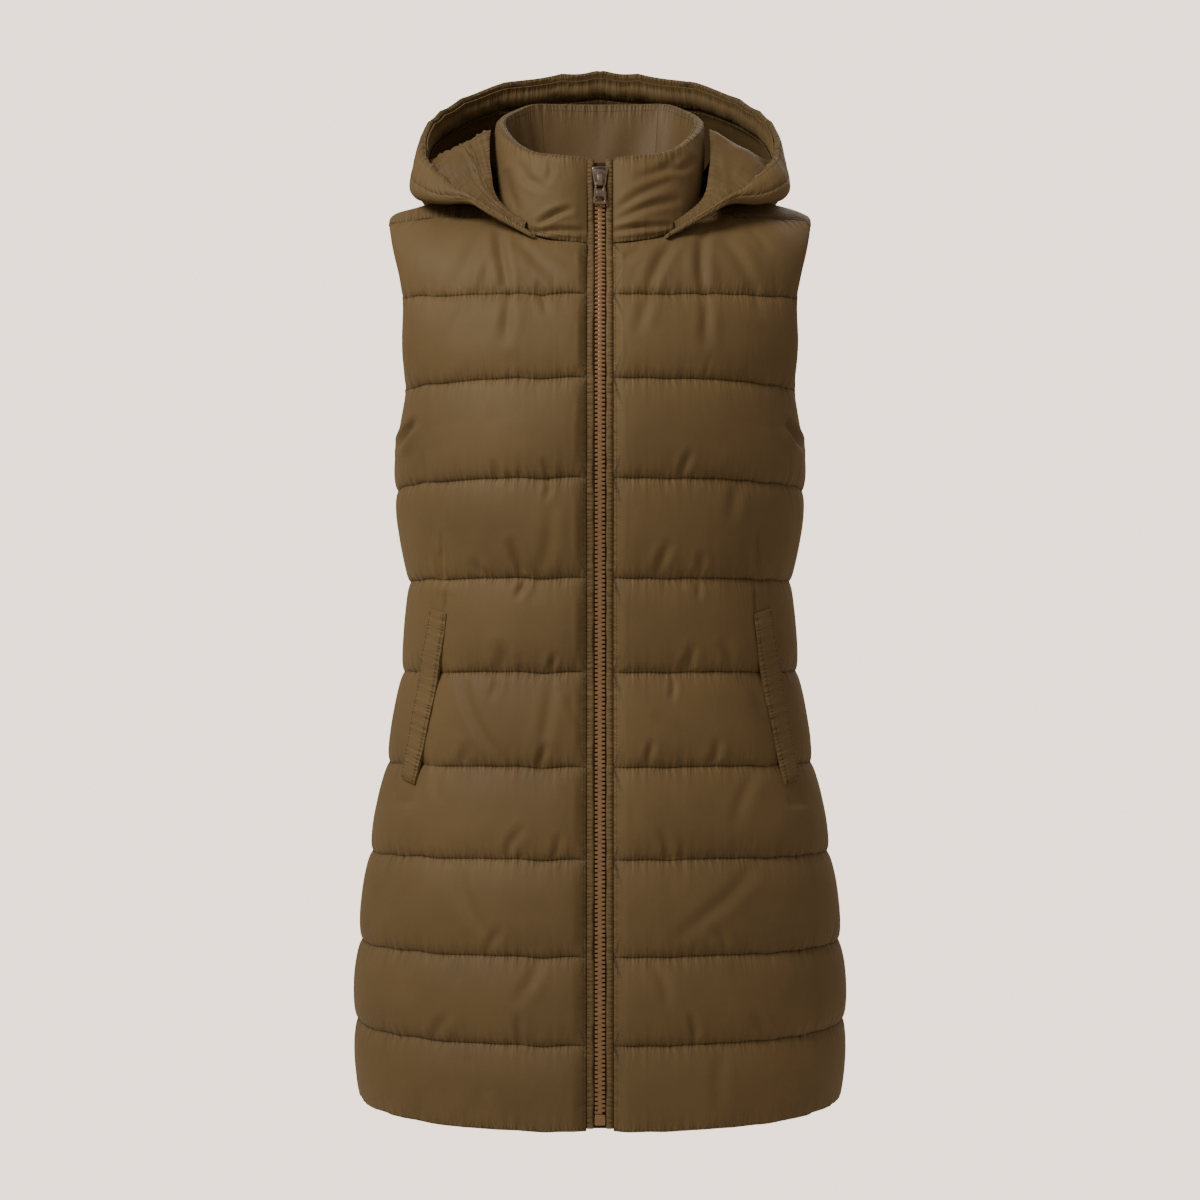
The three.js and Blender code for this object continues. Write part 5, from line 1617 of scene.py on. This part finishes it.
def bumped(tree, heights):
    """One normal from several (height, distance in millimetres, strength), the coarsest first."""
    normal = None
    for height, distance, strength in heights:
        bump = node(tree, "Bump", {"Height": height, "Distance": distance * MM, "Strength": strength})
        if normal is not None:
            tree.links.new(normal, bump.inputs["Normal"])
        normal = bump.outputs["Normal"]
    return normal


def cloth_finish(name, colour, gloss, weave, creases, **settings):
    material, tree = blank(name, Sheen_Tint=(0.9, 0.7, 0.4, 1), **settings)
    mottle = placed(tree, "Mottling", Size=9.0, Contrast=1.3)
    threads = placed(tree, "Plain weave", Threads=weave["threads"], Slub=weave["slub"])
    folds = placed(tree, "Fine creases", Size=creases["size"], Warp=0.02)
    seams = placed(tree, "Seam gathers")
    # the colour's share: random mottling and the slubs' tone, with painted light and shade from the weave and
    # from the gathers and groove beside the stitching
    share = maths(tree, "ADD", maths(tree, "MULTIPLY", mottle["Cloud"], 0.4),
                  maths(tree, "MULTIPLY", threads["Shade"], 0.12))
    share = maths(tree, "ADD", maths(tree, "ADD", share, 0.12), seams["Shade"], clamp=True)
    return finished(
        material,
        Base_Color=shaded(tree, share, colour, 0.5, 1.45),
        Roughness=between(tree, mottle["Speckle"], gloss - 0.05, gloss + 0.07),
        Normal=bumped(tree, [(folds["Height"], creases["depth"], 0.6), (seams["Height"], 1.0, 0.8),
                             (threads["Height"], weave["depth"], 0.35)]),
    )


def nylon_finish(name):
    return cloth_finish(
        name, bpy.context.scene.vest_colours.shell, 0.64, {"threads": 3000.0, "slub": 0.25, "depth": 0.06},
        {"size": 26.0, "depth": 0.12}, Specular_IOR_Level=0.32, Sheen_Weight=0.14, Sheen_Roughness=0.5,
    )


def lining_finish(name):
    return cloth_finish(
        name, bpy.context.scene.vest_colours.lining, 0.56, {"threads": 3800.0, "slub": 0.2, "depth": 0.04},
        {"size": 22.0, "depth": 0.25}, Specular_IOR_Level=0.34, Sheen_Weight=0.08, Sheen_Roughness=0.4,
    )


def tape_finish(name):
    material, tree = blank(name, Specular_IOR_Level=0.25)
    threads = placed(tree, "Plain weave", Threads=1400.0, Slub=0.6)
    mottle = placed(tree, "Mottling", Size=40.0, Contrast=1.0)
    # painted light and shade of the weave, with the slubs' tone, times random mottling, sets the tape's
    # colour
    share = maths(tree, "MULTIPLY", threads["Shade"], mottle["Cloud"])
    return finished(
        material,
        Base_Color=shaded(tree, share, bpy.context.scene.vest_colours.tape, 0.6, 1.3),
        Roughness=between(tree, mottle["Speckle"], 0.72, 0.9),
        Normal=bumped(tree, [(threads["Height"], 0.16, 0.7)]),
    )


def teeth_finish(name):
    material, tree = blank(name, Specular_IOR_Level=0.55, IOR=1.5)
    mottle = placed(tree, "Mottling", Size=220.0, Contrast=1.6)
    return finished(
        material,
        Base_Color=shaded(tree, mottle["Cloud"], bpy.context.scene.vest_colours.teeth, 0.72, 1.25),
        Roughness=between(tree, mottle["Speckle"], 0.24, 0.44),
        Metallic=between(tree, mottle["Cloud"], 0.1, 0.35),
        Normal=bumped(tree, [(mottle["Speckle"], 0.05, 0.4)]),
    )


def metal_finish(name, colour, gloss, worn):
    """Plated metal, darkened and a little scratched."""
    material, tree = blank(name)
    mottle = placed(tree, "Mottling", Size=260.0, Contrast=2.2)
    scratches = placed(tree, "Fine creases", Size=300.0, Warp=0.004)
    return finished(
        material,
        Base_Color=shaded(tree, mottle["Cloud"], colour, 0.45, worn),
        Roughness=between(tree, mottle["Cloud"], gloss + 0.16, gloss),
        Metallic=between(tree, mottle["Speckle"], 0.82, 1.0),
        Normal=bumped(tree, [(scratches["Height"], 0.04, 0.5), (mottle["Speckle"], 0.02, 0.4)]),
    )


def thread_finish(name):
    material, tree = blank(name, Specular_IOR_Level=0.4)
    mottle = placed(tree, "Mottling", Size=120.0, Contrast=1.4)
    twist = placed(tree, "Fine creases", Size=1200.0, Warp=0.001)
    return finished(
        material,
        Base_Color=shaded(tree, mottle["Cloud"], bpy.context.scene.vest_colours.thread, 0.75, 1.2),
        Roughness=between(tree, mottle["Speckle"], 0.5, 0.7),
        Normal=bumped(tree, [(twist["Height"], 0.08, 0.6)]),
    )


def floor_finish(name):
    material, tree = blank(name, Specular_IOR_Level=0.2)
    mottle = placed(tree, "Mottling", Size=3.0, Contrast=0.5)
    return finished(
        material,
        Base_Color=shaded(tree, mottle["Cloud"], bpy.context.scene.vest_stage.floor, 0.97, 1.0),
        Roughness=between(tree, mottle["Speckle"], 0.85, 0.95),
    )


FINISHES = {
    "Outer nylon": nylon_finish,
    "Lining satin": lining_finish,
    "Zip tape": tape_finish,
    "Teeth": teeth_finish,
    "Antique brass": lambda name: metal_finish(name, bpy.context.scene.vest_colours.metal, 0.22, 1.3),
    "Snap lacquer": lambda name: metal_finish(name, bpy.context.scene.vest_colours.snap, 0.3, 1.1),
    "Thread": thread_finish,
    "Floor": floor_finish,
}


def finish_of(name):
    return bpy.data.materials.get(name) or FINISHES[name](name)


# Stage

CAMERA = {"place": (0, -2.56, -0.37), "lens": 80, "sensor": 36}
FLOOR_RADIUS = 1150.0
FLOOR_Z = -1420.0
FLOOR_THICK = 10.0


def area_light(name, place, target, size, power, colour):
    light = bpy.data.objects.new(name, bpy.data.lights.new(name, "AREA"))
    light.data.shape = "DISK"
    light.data.size, light.data.energy, light.data.color = size, power, colour
    light.location = place
    direction = Vector(target) - Vector(place)
    light.rotation_euler = direction.to_track_quat("-Z", "Y").to_euler()
    bpy.context.scene.collection.objects.link(light)


def make_stage():
    scene, stage = bpy.context.scene, bpy.context.scene.vest_stage
    camera = bpy.data.objects.new("Camera", bpy.data.cameras.new("Camera"))
    camera.data.lens, camera.data.sensor_width = CAMERA["lens"], CAMERA["sensor"]
    camera.location = CAMERA["place"]
    camera.rotation_euler = (math.pi / 2, 0, 0)
    scene.collection.objects.link(camera)
    scene.camera = camera
    area_light("Key light", (-1.45, -1.5, 1.45), (0, 0, -0.2), 1.2, stage.key, (1.0, 0.97, 0.93))
    area_light("Fill light", (2.2, -2.2, 0.3), (0, 0, -0.45), 2.0, stage.fill, (0.96, 0.98, 1.0))
    area_light("Back light", (0.6, 2.4, 1.4), (0, 0, -0.4), 1.8, stage.back, (1.0, 1.0, 1.0))
    world = bpy.data.worlds.new("Studio")
    scene.world = world
    world.use_nodes = True
    tree = world.node_tree
    seen = tree.nodes["Background"]
    seen.inputs["Color"].default_value = (*stage.backdrop, 1)
    seen.inputs["Strength"].default_value = stage.backdrop_light
    lit = node(tree, "Background", {"Color": (*stage.backdrop, 1), "Strength": stage.room_light})
    mix = node(tree, "MixShader", {0: node(tree, "LightPath").outputs["Is Camera Ray"],
                                   1: lit.outputs[0], 2: seen.outputs[0]})
    tree.links.new(mix.outputs[0], tree.nodes["World Output"].inputs["Surface"])
    turns = 96
    angles = [2 * math.pi * k / turns for k in range(turns)]
    points = [(FLOOR_RADIUS * math.cos(angle), FLOOR_RADIUS * math.sin(angle), z)
              for z in (FLOOR_Z, FLOOR_Z - FLOOR_THICK) for angle in angles]
    faces = [tuple(range(turns)), tuple(range(2 * turns - 1, turns - 1, -1))]
    faces += [(k, turns + k, turns + (k + 1) % turns, (k + 1) % turns) for k in range(turns)]
    floor = mesh_object("floor", points, faces, "Floor", smooth=False)


# Settings that a user would change

def colour_setting(label, description, default):
    return FloatVectorProperty(name=label, description=description, default=default, subtype="COLOR",
                               min=0, max=1)


class VestCloth(bpy.types.PropertyGroup):
    pressure: FloatProperty(name="Filling pressure", default=2.0, min=0,
        description="How hard the filling pushes the cloth out")
    spare: FloatProperty(name="Spare cloth", default=0.006, min=0, subtype="FACTOR",
        description="How much larger the cloth is cut than the space it closes")
    bending: FloatProperty(name="Stiffness", description="How the cloth resists bending", default=1.0, min=0)
    frames: IntProperty(name="Steps", default=20, min=2,
        description="How many steps the filling takes to settle")
    rise: FloatProperty(name="Filling height", default=9.0, min=0,
        description="How far the filling lifts the cloth between quilting lines, in millimetres")
    calm: IntProperty(name="Smoothness", default=6, min=0,
        description="How often the filled cloth is evened out")
    seed: IntProperty(name="Pattern", default=4, min=0,
        description="Which pattern of puckers and folds is made")


class VestColours(bpy.types.PropertyGroup):
    shell: colour_setting("Quilted panels", "Nylon of the quilted panels", (0.205, 0.134, 0.054))
    lining: colour_setting("Lining", "Satin of the hood and collar linings", (0.18, 0.116, 0.046))
    tape: colour_setting("Tape", "Woven tape of the zip", (0.07, 0.044, 0.02))
    teeth: colour_setting("Teeth", "Moulded zip teeth", (0.34, 0.2, 0.1))
    metal: colour_setting("Slider", "Antiqued metal of the slider and pull", (0.36, 0.29, 0.23))
    snap: colour_setting("Snap", "Dark lacquer of the hood's snap", (0.05, 0.035, 0.025))
    thread: colour_setting("Thread", "Sewing thread", (0.085, 0.053, 0.022))


class VestThread(bpy.types.PropertyGroup):
    pitch: FloatProperty(name="Stitch pitch", default=3.3, min=0.5,
        description="From one stitch to the next, in millimetres")
    length: FloatProperty(name="Stitch length", default=2.5, min=0.2,
        description="Length of a stitch that shows, in millimetres")
    thickness: FloatProperty(name="Thread thickness", default=0.5, min=0.05,
        description="Thickness of the thread, in millimetres")


class VestZip(bpy.types.PropertyGroup):
    pitch: FloatProperty(name="Tooth pitch", default=4.0, min=1,
        description="From one tooth to the next on one side, in millimetres")


class VestStage(bpy.types.PropertyGroup):
    key: FloatProperty(name="Key light", default=48.0, min=0, unit="POWER",
        description="Power of the light at the upper left")
    fill: FloatProperty(name="Fill light", default=1.5, min=0, unit="POWER",
        description="Power of the light at the right")
    back: FloatProperty(name="Back light", default=26.0, min=0, unit="POWER",
        description="Power of the light behind")
    backdrop: colour_setting("Backdrop", "Colour behind the vest", (0.84, 0.71, 0.60))
    backdrop_light: FloatProperty(name="Backdrop light", default=3.05, min=0,
        description="How bright the backdrop looks")
    room_light: FloatProperty(name="Room light", default=0.36, min=0,
        description="How much light the surroundings give")
    floor: colour_setting("Floor", "Colour of the floor", (0.84, 0.80, 0.76))


# Operators, one for each piece or group of like pieces

class VEST_OT_stage(bpy.types.Operator):
    """Set up the camera, lights, backdrop and floor"""
    bl_idname = "vest.stage"
    bl_label = "Stage"

    def execute(self, context):
        make_stage()
        return {"FINISHED"}


class VEST_OT_fronts(bpy.types.Operator):
    """Make the two padded, quilted fronts"""
    bl_idname = "vest.fronts"
    bl_label = "Fronts"

    def execute(self, context):
        make_fronts()
        return {"FINISHED"}


class VEST_OT_back(bpy.types.Operator):
    """Make the padded, quilted back"""
    bl_idname = "vest.back"
    bl_label = "Back"

    def execute(self, context):
        make_back()
        return {"FINISHED"}


class VEST_OT_collar(bpy.types.Operator):
    """Make the padded collar and its facings"""
    bl_idname = "vest.collar"
    bl_label = "Collar"

    def execute(self, context):
        make_collar()
        return {"FINISHED"}


class VEST_OT_hood(bpy.types.Operator):
    """Make the hood's padded sides and crown"""
    bl_idname = "vest.hood"
    bl_label = "Hood"

    def execute(self, context):
        make_hood()
        return {"FINISHED"}


class VEST_OT_hood_lining(bpy.types.Operator):
    """Make the hood's satin lining and the stitched casing along its rim"""
    bl_idname = "vest.hood_lining"
    bl_label = "Hood lining"

    def execute(self, context):
        make_hood_lining()
        make_casing()
        return {"FINISHED"}


class VEST_OT_welts(bpy.types.Operator):
    """Make the slanted pocket welts"""
    bl_idname = "vest.welts"
    bl_label = "Pocket welts"

    def execute(self, context):
        make_welts()
        return {"FINISHED"}


class VEST_OT_zip_cloth(bpy.types.Operator):
    """Make the zip's tapes and the folded edges beside its teeth"""
    bl_idname = "vest.zip_cloth"
    bl_label = "Zip tapes and edges"

    def execute(self, context):
        make_zip_cloth()
        return {"FINISHED"}


class VEST_OT_zip_teeth(bpy.types.Operator):
    """Make the locked teeth and the box at the foot of the zip"""
    bl_idname = "vest.zip_teeth"
    bl_label = "Zip teeth"

    def execute(self, context):
        make_teeth()
        make_box()
        return {"FINISHED"}


class VEST_OT_slider(bpy.types.Operator):
    """Make the zip's slider and its pull"""
    bl_idname = "vest.slider"
    bl_label = "Slider and pull"

    def execute(self, context):
        make_slider()
        make_pull()
        return {"FINISHED"}


class VEST_OT_stitching(bpy.types.Operator):
    """Sew the lines of quilting and the topstitching, and set the hood's snap"""
    bl_idname = "vest.stitching"
    bl_label = "Stitching and snap"

    def execute(self, context):
        make_quilting()
        make_topstitching()
        make_snap()
        return {"FINISHED"}


STEPS = ("stage", "fronts", "back", "collar", "hood", "hood_lining", "welts", "zip_cloth", "zip_teeth",
         "slider", "stitching")


class VEST_PT_pieces(bpy.types.Panel):
    """The vest's pieces and their settings"""
    bl_idname = "VEST_PT_pieces"
    bl_label = "Quilted vest"
    bl_space_type = "VIEW_3D"
    bl_region_type = "UI"
    bl_category = "Vest"

    def draw(self, context):
        for step in STEPS:
            self.layout.operator("vest." + step)
        for settings in (getattr(context.scene, name) for name in SETTINGS):
            box = self.layout.box()
            for key in settings.bl_rna.properties.keys():
                if key not in ("rna_type", "name"):
                    box.prop(settings, key)


SETTINGS = {
    "vest_cloth": VestCloth, "vest_colours": VestColours, "vest_thread": VestThread, "vest_zip": VestZip,
    "vest_stage": VestStage,
}
CLASSES = (
    *SETTINGS.values(), VEST_OT_stage, VEST_OT_fronts, VEST_OT_back, VEST_OT_collar, VEST_OT_hood,
    VEST_OT_hood_lining, VEST_OT_welts, VEST_OT_zip_cloth, VEST_OT_zip_teeth, VEST_OT_slider,
    VEST_OT_stitching, VEST_PT_pieces,
)


def register():
    for each in CLASSES:
        bpy.utils.register_class(each)
    for name, settings in SETTINGS.items():
        setattr(bpy.types.Scene, name, PointerProperty(type=settings))


def unregister():
    for name in SETTINGS:
        delattr(bpy.types.Scene, name)
    for each in reversed(CLASSES):
        bpy.utils.unregister_class(each)


def main():
    register()
    for name in ("Cube", "Light", "Camera"):  # what a new Blender file starts with
        if name in bpy.data.objects:
            bpy.data.objects.remove(bpy.data.objects[name])
    for step in STEPS:
        getattr(bpy.ops.vest, step)()


if __name__ == "__main__":
    main()
